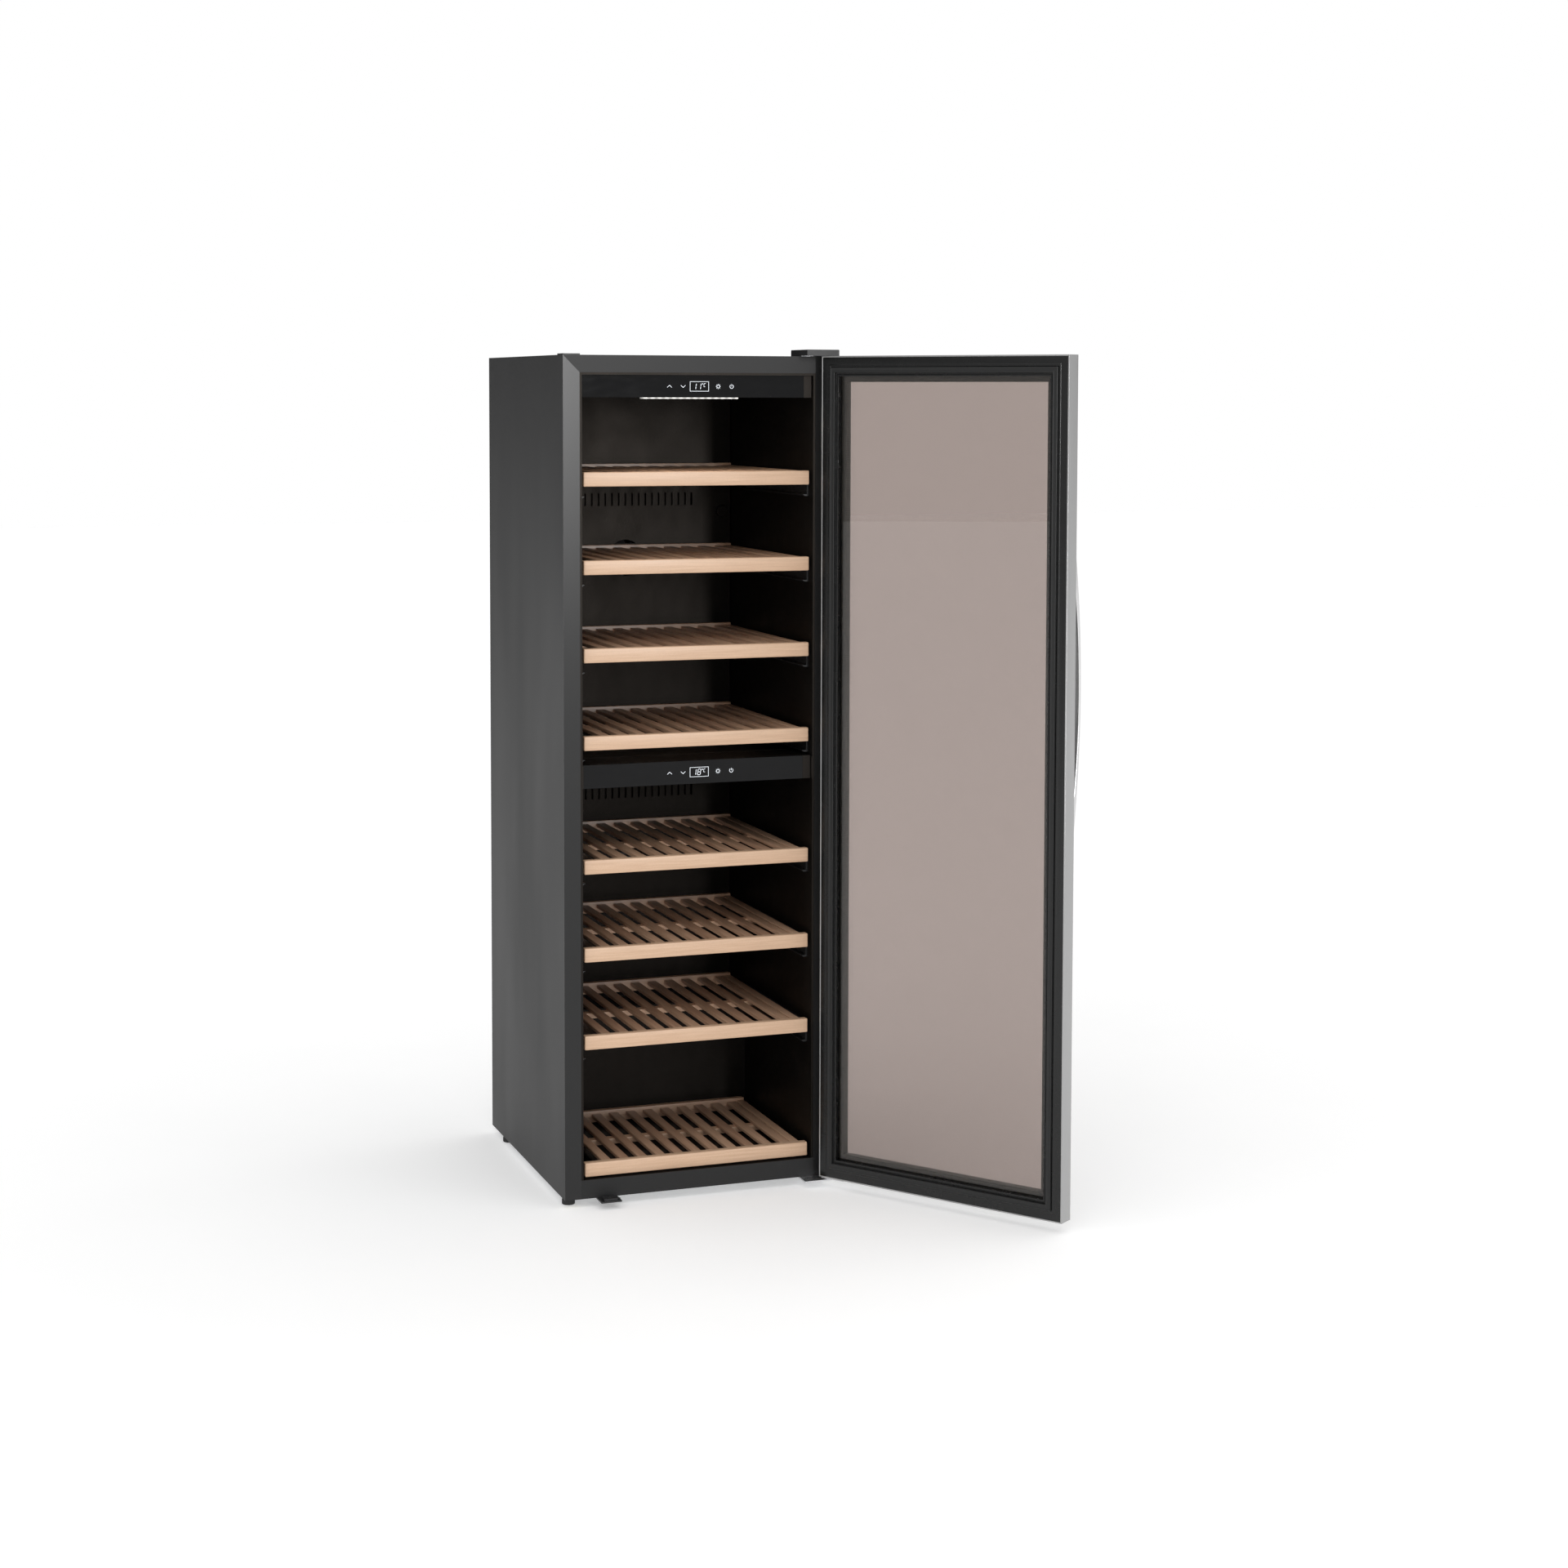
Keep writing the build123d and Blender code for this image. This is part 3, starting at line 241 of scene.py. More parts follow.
dress(panel_paint, "side_panel_left", "side_panel_right")
# The top panel and the bottom rail take a darker copy of the same paint: the darker base colour is painted
# shade, with a random cloud in it.
rail_paint_shaded = material("rail_paint_shaded", (0.012, 0.012, 0.0123), 0.5, Specular_IOR_Level=0.28)
rail_cloud = noise(rail_paint_shaded, place_of(rail_paint_shaded, stretch=(0.25, 1, 1)), 5.0, 2.0)
shade(rail_paint_shaded, "Roughness", spread(rail_paint_shaded, rail_cloud, 0.44, 0.52))
rail_tone_and_shade = blended(
    rail_paint_shaded, spread(rail_paint_shaded, rail_cloud, 0, 1), (0.011, 0.011, 0.0113), (0.014, 0.014, 0.0143),
)
shade(rail_paint_shaded, "Base Color", rail_tone_and_shade)
relief(rail_paint_shaded, noise(rail_paint_shaded, place_of(rail_paint_shaded), 900.0, 2.0), 0.00004, 0.5)
dress(rail_paint_shaded, "top_panel", "bottom_rail")

# ---------------------------------------------------------------- rear and base sheets
# Galvanised steel: the rear panel, the base plate and the slotted cover over the compressor room.
# The zinc dries in crystals, which show as patches of slightly different grey.
zinc_sheet = material("zinc_sheet", (0.55, 0.56, 0.57), 0.42, 0.85)
crystals = node(zinc_sheet, "TexVoronoi", {"Vector": place_of(zinc_sheet), "Scale": 70.0}).outputs["Color"]
patch = node(zinc_sheet, "SeparateColor", {"Color": crystals}).outputs["Red"]
shade(zinc_sheet, "Base Color", blended(zinc_sheet, patch, (0.48, 0.49, 0.5), (0.64, 0.65, 0.66)))
shade(zinc_sheet, "Roughness", spread(zinc_sheet, patch, 0.34, 0.5, 0, 1))
relief(zinc_sheet, noise(zinc_sheet, place_of(zinc_sheet), 240.0), 0.00006, 0.4)
dress(zinc_sheet, "rear_panel", "base_plate", "compressor_cover")

# ---------------------------------------------------------------- insulation
# Rigid polyurethane foam, poured as a liquid between the outer shell and the liners, where it rises,
# sets and bonds them together.
foam = material("rigid_foam", (0.82, 0.76, 0.52), 0.9)
cells = node(foam, "TexVoronoi", {"Vector": place_of(foam), "Scale": 600.0}).outputs["Distance"]
foam_tint = spread(foam, noise(foam, place_of(foam), 9.0), 0, 1)
shade(foam, "Base Color", blended(foam, foam_tint, (0.8, 0.73, 0.48), (0.86, 0.8, 0.58)))
relief(foam, cells, 0.0004, 0.6)
dress(foam, "insulation_foam")

# ---------------------------------------------------------------- liners, divider and ducts
# Black polystyrene, vacuum formed with a fine pebble grain. The air duct covers and the divider
# between the zones are the same plastic, and a round charcoal filter clips into the upper duct.
liner_plastic = material(
    "liner_plastic", (0.006, 0.0055, 0.005), 0.44, Specular_IOR_Level=0.17,
    Specular_Tint=(1.0, 0.88, 0.78, 1),
)
pebble = node(liner_plastic, "TexVoronoi", {"Vector": place_of(liner_plastic), "Scale": 420.0})
liner_cloud = noise(liner_plastic, place_of(liner_plastic), 14.0)
shade(liner_plastic, "Roughness", spread(liner_plastic, liner_cloud, 0.38, 0.48))
liner_tint = spread(liner_plastic, liner_cloud, 0, 1)
shade(liner_plastic, "Base Color", blended(
    liner_plastic, liner_tint, (0.004, 0.0036, 0.0033), (0.008, 0.0071, 0.0063),
))
relief(liner_plastic, pebble.outputs["Distance"], 0.00025, 0.5)
dress(
    liner_plastic, "upper_liner", "lower_liner", "zone_divider", "air_ducts", "air_filter",
    "control_panels",
)

# ---------------------------------------------------------------- touch panels
# A strip of black glass on the front of each control panel, with a lit display and four touch
# marks behind it. The digits are seven-segment bars, and a thin light line runs along one edge.
touch_glass = material("touch_glass", (0.004, 0.004, 0.0045), 0.05, Specular_IOR_Level=0.2)
smear = noise(touch_glass, place_of(touch_glass, stretch=(1, 1, 3)), 26.0)
shade(touch_glass, "Roughness", spread(touch_glass, smear, 0.03, 0.08))
shade(touch_glass, "Base Color", blended(touch_glass, smear, (0.003, 0.003, 0.0035), (0.006, 0.006, 0.0065)))
dress(touch_glass, "touch_panels")

mark_t = 0.0003         # how far a lit mark stands off the glass
display_w, display_h, display_line = 0.041, 0.020, 0.0008
digit_w, digit_h, digit_line, digit_slant = 0.0062, 0.0122, 0.0011, 0.14
icon_line, icon_r = 0.0009, 0.0050
chevron_foot, chevron_tip = 0.0022, 0.0024
letter_places, small_letter, bar_share = (-0.0105, 0.0, 0.0118), 0.55, 0.8
degree_at, degree_drop, degree_r, degree_line = 0.0072, 0.0008, 0.0011, 0.0006
marks_below_top, marks_above_foot, marks_shift = 0.0234, 0.0247, 0.0025
edge_below, edge_above, edge_line, edge_in = 0.0228, 0.0238, 0.0009, 0.001
mark_places = {"up": -0.066, "down": -0.036, "light": 0.042, "power": 0.072}
segments = {            # ends of the seven bars, in half widths and half heights
    "top": ((-1, 1), (1, 1)), "middle": ((-1, 0), (1, 0)), "bottom": ((-1, -1), (1, -1)),
    "upper_left": ((-1, 1), (-1, 0)), "upper_right": ((1, 1), (1, 0)),
    "lower_left": ((-1, 0), (-1, -1)), "lower_right": ((1, 0), (1, -1)),
}
lit = {
    "1": ("upper_right", "lower_right"),
    "8": tuple(segments),
    "C": ("top", "upper_left", "lower_left", "bottom"),
}


def skin(grid, wrap_rows=False, wrap_columns=False, caps=False, uv=None, tone_and_shade=0.0):
    """Quads over a grid of points: each point joins the next one in its row and the next in its column.

    wrap joins the last row or column to the first, and caps close the first and last row. uv is a
    grid of pattern coordinates, one longer than the points where the grid wraps.
    """
    rows, columns = grid.shape[:2]
    i, j = np.meshgrid(
        np.arange(rows if wrap_rows else rows - 1),
        np.arange(columns if wrap_columns else columns - 1), indexing="ij",
    )
    below, beside = (i + 1) % rows, (j + 1) % columns
    quads = np.stack([
        i * columns + j, below * columns + j, below * columns + beside, i * columns + beside,
    ], -1)
    faces = quads.reshape(-1, 4).tolist()
    if uv is None:
        uv = np.zeros((rows + 1, columns + 1, 2))
    corners = np.stack([uv[i, j], uv[i + 1, j], uv[i + 1, j + 1], uv[i, j + 1]], -2).reshape(-1, 2)
    if caps:
        first = np.arange(columns)
        for ring in (first[::-1], first + (rows - 1) * columns):
            faces.append(ring.tolist())
            corners = np.concatenate([corners, grid.reshape(-1, 3)[ring][:, [0, 2]]])
    points = grid.reshape(-1, 3)
    return points, faces, corners, np.full(len(points), tone_and_shade)


def piece(name, parts, made, body, slot, *stands_for, crease=35.0):
    """Joins skins into one mesh with outward faces, and says what it rides on and stands for."""
    starts = np.cumsum([0] + [len(part[0]) for part in parts[:-1]])
    faces = [[v + int(start) for v in face] for part, start in zip(parts, starts) for face in part[1]]
    mesh = bpy.data.meshes.new(name)
    mesh.from_pydata(np.concatenate([part[0] for part in parts]).tolist(), [], faces)
    mesh.uv_layers.new(name="pattern").data.foreach_set(
        "uv", np.concatenate([part[2] for part in parts]).astype(np.float32).ravel()
    )
    mesh.attributes.new("tone_and_shade", "FLOAT", "POINT").data.foreach_set(
        "value", np.concatenate([part[3] for part in parts]).astype(np.float32)
    )
    shell = bmesh.new()
    shell.from_mesh(mesh)
    bmesh.ops.recalc_face_normals(shell, faces=shell.faces)
    shell.to_mesh(mesh)
    shell.free()
    mesh.shade_smooth()
    mesh.set_sharp_from_angle(angle=math.radians(crease))
    mesh.materials.append(made)
    made_object = bpy.data.objects.new(name, mesh)
    scene.collection.objects.link(made_object)
    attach(made_object, body)
    if stands_for:
        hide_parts(*stands_for)


def stroke(path, width, face_y, closed=False):
    """A flat line of even width along points in the front plane, a square section carried along them."""
    path = np.array(path, float)
    if closed:
        ahead, behind = np.roll(path, -1, 0), np.roll(path, 1, 0)
    else:
        ahead, behind = np.vstack([path[1:], path[-1:]]), np.vstack([path[:1], path[:-1]])
    first, second = path - behind, ahead - path
    first, second = [d / np.maximum(np.linalg.norm(d, axis=1, keepdims=True), 1e-9) for d in (first, second)]
    along = first + second
    along /= np.linalg.norm(along, axis=1, keepdims=True)
    side = np.stack([-along[:, 1], along[:, 0]], 1)
    turn = np.where(
        (first * second).sum(1) > -0.9, np.maximum(np.sqrt((1 + (first * second).sum(1)) / 2), 0.5), 1,
    )
    if not closed:
        turn[0] = turn[-1] = 1
    reach = side * (width / 2 / turn)[:, None]
    grid = np.empty((len(path), 4, 3))
    grid[:, 0, ::2], grid[:, 1, ::2] = path - reach, path + reach
    grid[:, 2, ::2], grid[:, 3, ::2] = path + reach, path - reach
    grid[:, :2, 1], grid[:, 2:, 1] = face_y, face_y - mark_t
    return skin(grid, closed, True, not closed)


def circle_path(x, z, r, start=0.0, stop=360.0, steps=28):
    """Points round a circle, clockwise from the top."""
    turns = np.radians(np.linspace(start, stop, steps, endpoint=stop - start < 360))
    return np.stack([x + r * np.sin(turns), z + r * np.cos(turns)], 1)


def display(x, z, text, face_y):
    """One display: its outline, two digits, a degree ring and a small C."""
    half_w, half_h = display_w / 2, display_h / 2
    outline = [
        (x - half_w, z - half_h), (x + half_w, z - half_h), (x + half_w, z + half_h), (x - half_w, z + half_h),
    ]
    parts = [stroke(outline, display_line, face_y, True)]
    for letter, at, size in zip((*text, "C"), letter_places, (1.0, 1.0, small_letter)):
        for bar in lit[letter]:
            ends = np.array(segments[bar], float) * (digit_w / 2 * size, digit_h / 2 * size)
            centre = ends.mean(0)
            ends = centre + (ends - centre) * bar_share
            ends[:, 0] += ends[:, 1] * digit_slant
            raised = (1 - size) * digit_h / 2
            parts.append(stroke(ends + (x + at, z + raised), digit_line * (0.5 + size / 2), face_y))
    parts.append(stroke(
        circle_path(x + degree_at, z + digit_h / 2 - degree_drop, degree_r, steps=12), degree_line, face_y, True,
    ))
    return parts


def marks(z, face_y, middle):
    """The four touch marks: up, down, a lamp and the power sign."""
    up, down, lamp, power = (middle + mark_places[key] for key in ("up", "down", "light", "power"))
    parts = [
        stroke(
            [(up - icon_r, z - chevron_foot), (up, z + chevron_tip), (up + icon_r, z - chevron_foot)],
            icon_line, face_y,
        ),
        stroke(
            [(down - icon_r, z + chevron_foot), (down, z - chevron_tip), (down + icon_r, z + chevron_foot)],
            icon_line, face_y,
        ),
        stroke(circle_path(lamp, z, icon_r * 0.62), icon_line, face_y, True),
        stroke(circle_path(power, z, icon_r * 0.8, 35, 325), icon_line, face_y),
        stroke([(power, z + 0.0002), (power, z + icon_r)], icon_line, face_y),
    ]
    for turn in np.radians(np.arange(0, 360, 45)):
        ray = np.array([math.sin(turn), math.cos(turn)])
        parts.append(stroke(
            [(lamp, z) + ray * icon_r * 0.85, (lamp, z) + ray * icon_r * 1.1], icon_line, face_y,
        ))
    return parts


mark_light = material(
    "mark_light", (0.75, 0.78, 0.8), 0.4, Emission_Color=(0.86, 0.92, 1.0, 1), Emission_Strength=0.6,
)
mark_haze = noise(mark_light, place_of(mark_light), 900.0)
shade(mark_light, "Roughness", spread(mark_light, mark_haze, 0.35, 0.5))
touch_low, touch_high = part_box("touch_panels")
panel_mids = {
    "upper": (touch_high.z - marks_below_top, "11"), "lower": (touch_low.z + marks_above_foot, "18"),
}
for zone, (mid, text) in panel_mids.items():
    parts = display(middle_x + marks_shift, mid, text, touch_low.y)
    parts += marks(mid, touch_low.y, middle_x + marks_shift)
    edge = mid + (-edge_below if zone == "upper" else edge_above)
    piece(f"display_{zone}", parts, mark_light, "cabinet", "light_diffuser")
    line = [(touch_low.x + edge_in, edge), (touch_high.x - edge_in, edge)]
    piece(
        f"edge_line_{zone}", [stroke(line, edge_line, touch_low.y)], touch_glass, "cabinet",
        "black_touch_glass",
    )

# ---------------------------------------------------------------- light strips
# A row of white diodes on a strip of board, behind a frosted plastic cover that clips in under each
# control panel. The lower one is dimmed.
lower_strip_share, between_strips = 0.12, (1.2, 1.3)        # and two heights between the strips
strip_light = material(
    "strip_light", (0.9, 0.9, 0.88), 0.5, Emission_Color=(1.0, 0.95, 0.88, 1), Emission_Strength=28.0,
)
diode_wave = node(
    strip_light, "TexWave", {"Vector": place_of(strip_light), "Scale": 20.0}, bands_direction="X",
)
strip_faces = node(
    strip_light, "SeparateXYZ", {"Vector": node(strip_light, "NewGeometry", {}).outputs["Normal"]},
)
strip_down = spread(strip_light, strip_faces.outputs["Z"], 1, 0, -0.9, -0.4)
diode_glow = blended(strip_light, diode_wave.outputs["Fac"], (0.005, 0.0047, 0.0044), (0.032, 0.0305, 0.028))
strip_z = node(strip_light, "SeparateXYZ", {"Vector": place_of(strip_light)}).outputs["Z"]
lit_zone = spread(strip_light, strip_z, lower_strip_share, 1, *between_strips)
strip_glow = blended(strip_light, strip_down, diode_glow, (1.0, 0.88, 0.76))
shade(strip_light, "Emission Color", blended(strip_light, lit_zone, (0, 0, 0), strip_glow))
dress(strip_light, "led_strips")

# ---------------------------------------------------------------- shelves
# Solid beech, glued up: a moulded front, eleven slats, a rail on the hinge side, a cross bar and
# a back rail. Every edge is eased, and the wood is oiled, so its rays show as short flecks.
front_t, front_h, front_ease = 0.018, 0.030, 0.0022
slat_w, slat_top, slat_bottom = 0.0205, -0.001, -0.009
slat_pitch, slat_shift, slats_each_side = 0.0405, 0.0034, 5
side_rail = (middle_x + 0.2175, middle_x + 0.2365)
bar_bottom, bar_d, bar_at = -0.021, 0.023, 0.222
back_rail_d, back_rail_rise, full_depth, wood_ease = 0.016, 0.005, 0.492, 0.0012
grain_seed, grain_reach = np.random.default_rng(11), 5
# The front keeps the pale wood. The slats, rails and cross bar lean towards a darker copy of it: painted shade
# for wood set back under the shelf above, with a random tone between the slats on top.
front_shade, slat_tones_and_shade, side_rail_shade, bar_shade, back_rail_shade = 0.0, (0.45, 0.85), 0.5, 0.3, 0.55
corner_points = 4


def timber(low, high, axis, ease, tone_and_shade):
    """A bar with eased edges: a rounded rectangle, carried along one axis and shrunk at both ends.

    Across the grain each corner is a quarter circle of radius ease, and near an end the section
    draws in by ease times one minus the sine of the same quarter turn.
    """
    low, high = np.array(low, float), np.array(high, float)
    across = 1 - axis
    half_a, half_b = (high - low)[across] / 2, (high - low)[2] / 2
    quarter = np.linspace(0, math.pi / 2, corner_points)
    corner = np.concatenate([quarter + k * math.pi / 2 for k in range(4)])
    sign_a = np.repeat([1, -1, -1, 1], corner_points)
    sign_b = np.repeat([1, 1, -1, -1], corner_points)
    draw = ease * (1 - np.sin(quarter[:-1]))
    inset = np.concatenate([draw, [0], [0], draw[::-1]])
    start = ease * (1 - np.cos(quarter[:-1]))
    length = (high - low)[axis]
    station = np.concatenate([start, [ease], [length - ease], length - start[::-1]])
    radius = np.maximum(ease - inset, ease * 0.15)[:, None]
    a = sign_a * (half_a - inset[:, None] - radius) + radius * np.cos(corner)
    b = sign_b * (half_b - inset[:, None] - radius) + radius * np.sin(corner)
    middle = (low + high) / 2
    grid = np.empty((len(station), len(corner), 3))
    grid[..., axis] = (low[axis] + station)[:, None]
    grid[..., across] = middle[across] + a
    grid[..., 2] = middle[2] + b
    round_about = np.concatenate([[0], np.cumsum(np.hypot(np.diff(a[3]), np.diff(b[3])))])
    round_about = np.append(round_about, 2 * (high - low)[across] + 2 * (high - low)[2])
    uv = np.empty((len(station) + 1, len(corner) + 1, 2))
    uv[..., 0] = np.append(station, length)[:, None] + grain_seed.uniform(0, grain_reach)
    uv[..., 1] = round_about + grain_seed.uniform(0, grain_reach)
    return skin(grid, False, True, True, uv, tone_and_shade)


beech = material("oiled_beech", (0.7, 0.45, 0.27), 0.42)
long_grain = place_of(beech, "UV", (1.0, 26.0, 1.0))
tone_and_shade_in = node(beech, "Attribute", {}, attribute_name="tone_and_shade").outputs["Fac"]
figure = noise(beech, long_grain, 9.0, 6.0, 0.6)
ray_fleck = node(beech, "TexVoronoi", {"Vector": place_of(beech, "UV", (240.0, 1500.0, 1.0)), "Scale": 1.0})
fleck = spread(beech, ray_fleck.outputs["Distance"], 1, 0, 0.1, 0.35)
pale = blended(beech, spread(beech, figure, 0, 1), (0.66, 0.425, 0.272), (0.78, 0.535, 0.362))
# The darker copy of the wood is painted shade, mixed in per bar by its attribute value.
shaded_wood = blended(beech, spread(beech, figure, 0, 1), (0.27, 0.14, 0.085), (0.46, 0.27, 0.175))
wood_tone_and_shade = blended(beech, tone_and_shade_in, pale, shaded_wood)
shade(beech, "Base Color", blended(beech, spread(beech, fleck, 0, 0.35, 0, 1), wood_tone_and_shade, (0.38, 0.22, 0.14)))
shade(beech, "Roughness", spread(beech, figure, 0.36, 0.5))
relief(beech, figure, 0.00012, 0.5)

shelf_names = sorted(name for name in nodes if name.startswith("shelf_") and not name.endswith("runners"))
for name in shelf_names:
    low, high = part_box(name)
    top, face, back = high.z - back_rail_rise, low.y, high.y
    wood_front, slat_back = face + front_t, back - back_rail_d
    slats = middle_x + slat_shift + slat_pitch * np.arange(-slats_each_side, slats_each_side + 1)
    left_end = slats[0] - slat_w / 2
    bar_y = wood_front + bar_at * (back - face) / full_depth
    parts = [timber((low.x, face, top - front_h), (high.x, wood_front, top), 0, front_ease, front_shade)]
    for x in slats:
        parts.append(timber(
            (x - slat_w / 2, wood_front, top + slat_bottom), (x + slat_w / 2, slat_back, top + slat_top),
            1, wood_ease, grain_seed.uniform(*slat_tones_and_shade),
        ))
    parts += [
        timber(
            (side_rail[0], wood_front, top + bar_bottom), (side_rail[1], slat_back, top),
            1, wood_ease, side_rail_shade,
        ),
        timber(
            (left_end, bar_y, top + bar_bottom), (side_rail[0], bar_y + bar_d, top + slat_bottom),
            0, wood_ease, bar_shade,
        ),
        timber(
            (left_end, slat_back, top + bar_bottom), (side_rail[1], back, high.z), 0, wood_ease, back_rail_shade,
        ),
    ]
    piece(f"{name}_wood", parts, beech, name, "beech", name)

# ---------------------------------------------------------------- shelf runners and door rest
# Steel channels, black zinc plated: one screwed to the liner and one under the wood, which slides
# out with the shelf. The door rest is the same steel, screwed under the front left corner.
black_steel = material("black_steel", (0.02, 0.02, 0.021), 0.4, 0.3)
scuff = noise(black_steel, place_of(black_steel, stretch=(6, 1, 6)), 60.0)
shade(black_steel, "Roughness", spread(black_steel, scuff, 0.3, 0.5))
shade(black_steel, "Base Color", blended(black_steel, scuff, (0.016, 0.016, 0.017), (0.03, 0.03, 0.031)))
dress(black_steel, "runner_rails", "door_rest_bracket", *[f"{name}_runners" for name in shelf_names[:-1]])

# ---------------------------------------------------------------- hinge brackets and screws
# Pressed steel, bright zinc plated and lightly cloudy, held by screws. The brackets on the cabinet
# carry the pins, which turn in the bores of the door's hinge plates.
zinc = material("zinc_plate", (0.66, 0.67, 0.69), 0.3, 1.0)
zinc_cloud = noise(zinc, place_of(zinc), 90.0, 4.0)
shade(zinc, "Roughness", spread(zinc, zinc_cloud, 0.22, 0.42))
shade(zinc, "Base Color", blended(zinc, zinc_cloud, (0.6, 0.61, 0.64), (0.74, 0.74, 0.74)))
dress(
    zinc, "upper_hinge_bracket", "lower_hinge_bracket", "door_hinge_plates", "cabinet_screws",
    "door_handle_screws",
)

# ---------------------------------------------------------------- hinge cover and blank cap
# Moulded black polypropylene with a fine spark-eroded grain. The cover hides the upper hinge, the cap
# fills the same place on the other corner, and both clip into the top panel.
trim_plastic = material("trim_plastic", (0.017, 0.017, 0.018), 0.46)
trim_grain = noise(trim_plastic, place_of(trim_plastic), 1400.0, 2.0)
trim_cloud = noise(trim_plastic, place_of(trim_plastic), 30.0)
shade(trim_plastic, "Roughness", spread(trim_plastic, trim_cloud, 0.42, 0.52))
relief(trim_plastic, trim_grain, 0.00006, 0.5)
dress(trim_plastic, "hinge_covers")

# ---------------------------------------------------------------- feet and compressor mounts
# Each foot is a ribbed rubber pad moulded on a steel stem that screws into the base, and the
# compressor stands on four rubber bushes.
foot_ribs, foot_rib_depth, foot_steps = 24, 0.0005, 96
pad_insets = (0.0016, 0.0004, 0, 0, 0.0005, 0.002)      # within the pad's radius, from the floor up
stem_radii = (0.0088, 0.0084, 0.005, 0.005, 0.0042)
foot_heights = (0, 0.0004, 0.0016, 0.0102, 0.0114, 0.012, 0.0122, 0.0164, 0.0165)
stem_ease = 0.0008
rubber = material("foot_rubber", (0.018, 0.018, 0.018), 0.7)
rubber_grain = noise(rubber, place_of(rubber), 700.0)
shade(rubber, "Roughness", spread(rubber, rubber_grain, 0.6, 0.8))
relief(rubber, rubber_grain, 0.0001, 0.5)
dress(rubber, "compressor_mounts")


def turned_piece(x, y, radii, heights, ribs, rib_depth, steps):
    """A profile turned round an upright axis, its radius less a cosine of the angle where it is ribbed."""
    angle = np.linspace(0, 2 * math.pi, steps, endpoint=False)
    radii, heights = np.array(radii, float), np.array(heights, float)
    ribbed = (radii > radii.max() * 0.97)[:, None] * rib_depth * (0.5 - 0.5 * np.cos(ribs * angle))
    r = radii[:, None] - ribbed
    grid = np.stack([
        x + r * np.cos(angle), y + r * np.sin(angle), np.broadcast_to(heights[:, None], r.shape),
    ], -1)
    return skin(grid, False, True, True)


for name in sorted(n for n in nodes if n.startswith("foot_")):
    low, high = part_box(name)
    x, y = (low.x + high.x) / 2, (low.y + high.y) / 2
    pad = (high.x - low.x) / 2
    radii = [pad - inset for inset in pad_insets] + list(stem_radii)
    heights = [*foot_heights, high.z - stem_ease, high.z]
    foot = turned_piece(x, y, radii, heights, foot_ribs, foot_rib_depth, foot_steps)
    piece(f"{name}_pad", [foot], rubber, name, "mount_rubber", name)

# ---------------------------------------------------------------- cooling parts
# Behind the duct covers and the rear cover: moulded fans, finned aluminium coils with their
# tubes, the black compressor, the drain pan over it, and copper pipes.
fan_plastic = material("fan_plastic", (0.03, 0.03, 0.031), 0.5)
fan_cloud = noise(fan_plastic, place_of(fan_plastic), 120.0)
shade(fan_plastic, "Roughness", spread(fan_plastic, fan_cloud, 0.42, 0.6))
relief(fan_plastic, noise(fan_plastic, place_of(fan_plastic), 1200.0), 0.00005, 0.5)
dress(
    fan_plastic, "fan_frames", "circulation_fan_upper", "circulation_fan_lower", "condenser_fan",
    "mains_inlet", "drain_pan",
)

fin_metal = material("fin_aluminium", (0.74, 0.75, 0.76), 0.35, 1.0)
fin_dust = noise(fin_metal, place_of(fin_metal), 160.0, 5.0)
shade(fin_metal, "Base Color", blended(fin_metal, fin_dust, (0.66, 0.67, 0.68), (0.82, 0.83, 0.84)))
shade(fin_metal, "Roughness", spread(fin_metal, fin_dust, 0.28, 0.5))
dress(fin_metal, "evaporators", "condenser_coil")

shell_paint = material("compressor_paint", (0.012, 0.012, 0.012), 0.3)
drips = noise(shell_paint, place_of(shell_paint, stretch=(1, 1, 0.3)), 120.0)
shade(shell_paint, "Roughness", spread(shell_paint, drips, 0.24, 0.42))
relief(shell_paint, drips, 0.0003, 0.4)
dress(shell_paint, "compressor")

copper = material("copper_tube", (0.72, 0.36, 0.2), 0.3, 1.0)
tarnish = noise(copper, place_of(copper), 80.0, 5.0)
shade(copper, "Base Color", blended(
    copper, spread(copper, tarnish, 0, 1), (0.45, 0.2, 0.11), (0.78, 0.42, 0.25),
))
shade(copper, "Roughness", spread(copper, tarnish, 0.45, 0.22))
dress(copper, "refrigerant_pipes")

# ---------------------------------------------------------------- door frame
# Four bars of folded stainless steel, mitred at the corners and brushed along their length. Their
# side walls fold in to a narrow rim round the inner face.
swing = next(joint for joint in frame["joints"] if joint["name"] == "door_swing")
door_angle = math.radians(-swing["range_deg"][0])
hinge_from_inner_face = 0.020
door_t, face_w, face_t, rim_w = 0.038, 0.050, 0.002, 0.003
door_w = cabinet_high.x - cabinet_low.x
door_low, door_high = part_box("door_frame")[0].z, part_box("door_frame")[1].z
along_door = np.array([math.cos(door_angle), math.sin(door_angle), 0.0])
out_of_door = np.array([math.sin(door_angle), -math.cos(door_angle), 0.0])
hinge_at = np.array([swing["pos_m"][0], swing["pos_m"][1], 0.0])
hinge_from_free_edge = hinge_at[0] - cabinet_low.x
free_corner = hinge_at - hinge_from_free_edge * along_door - hinge_from_inner_face * out_of_door


def on_door(x, z, depth):
    """Points of the open door: x from its free edge, height z, and depth out from its inner face."""
    x, z, depth = np.broadcast_arrays(x, z, depth)
    upright = np.array([0.0, 0.0, 1.0])
    return free_corner + x[..., None] * along_door + z[..., None] * upright + depth[..., None] * out_of_door


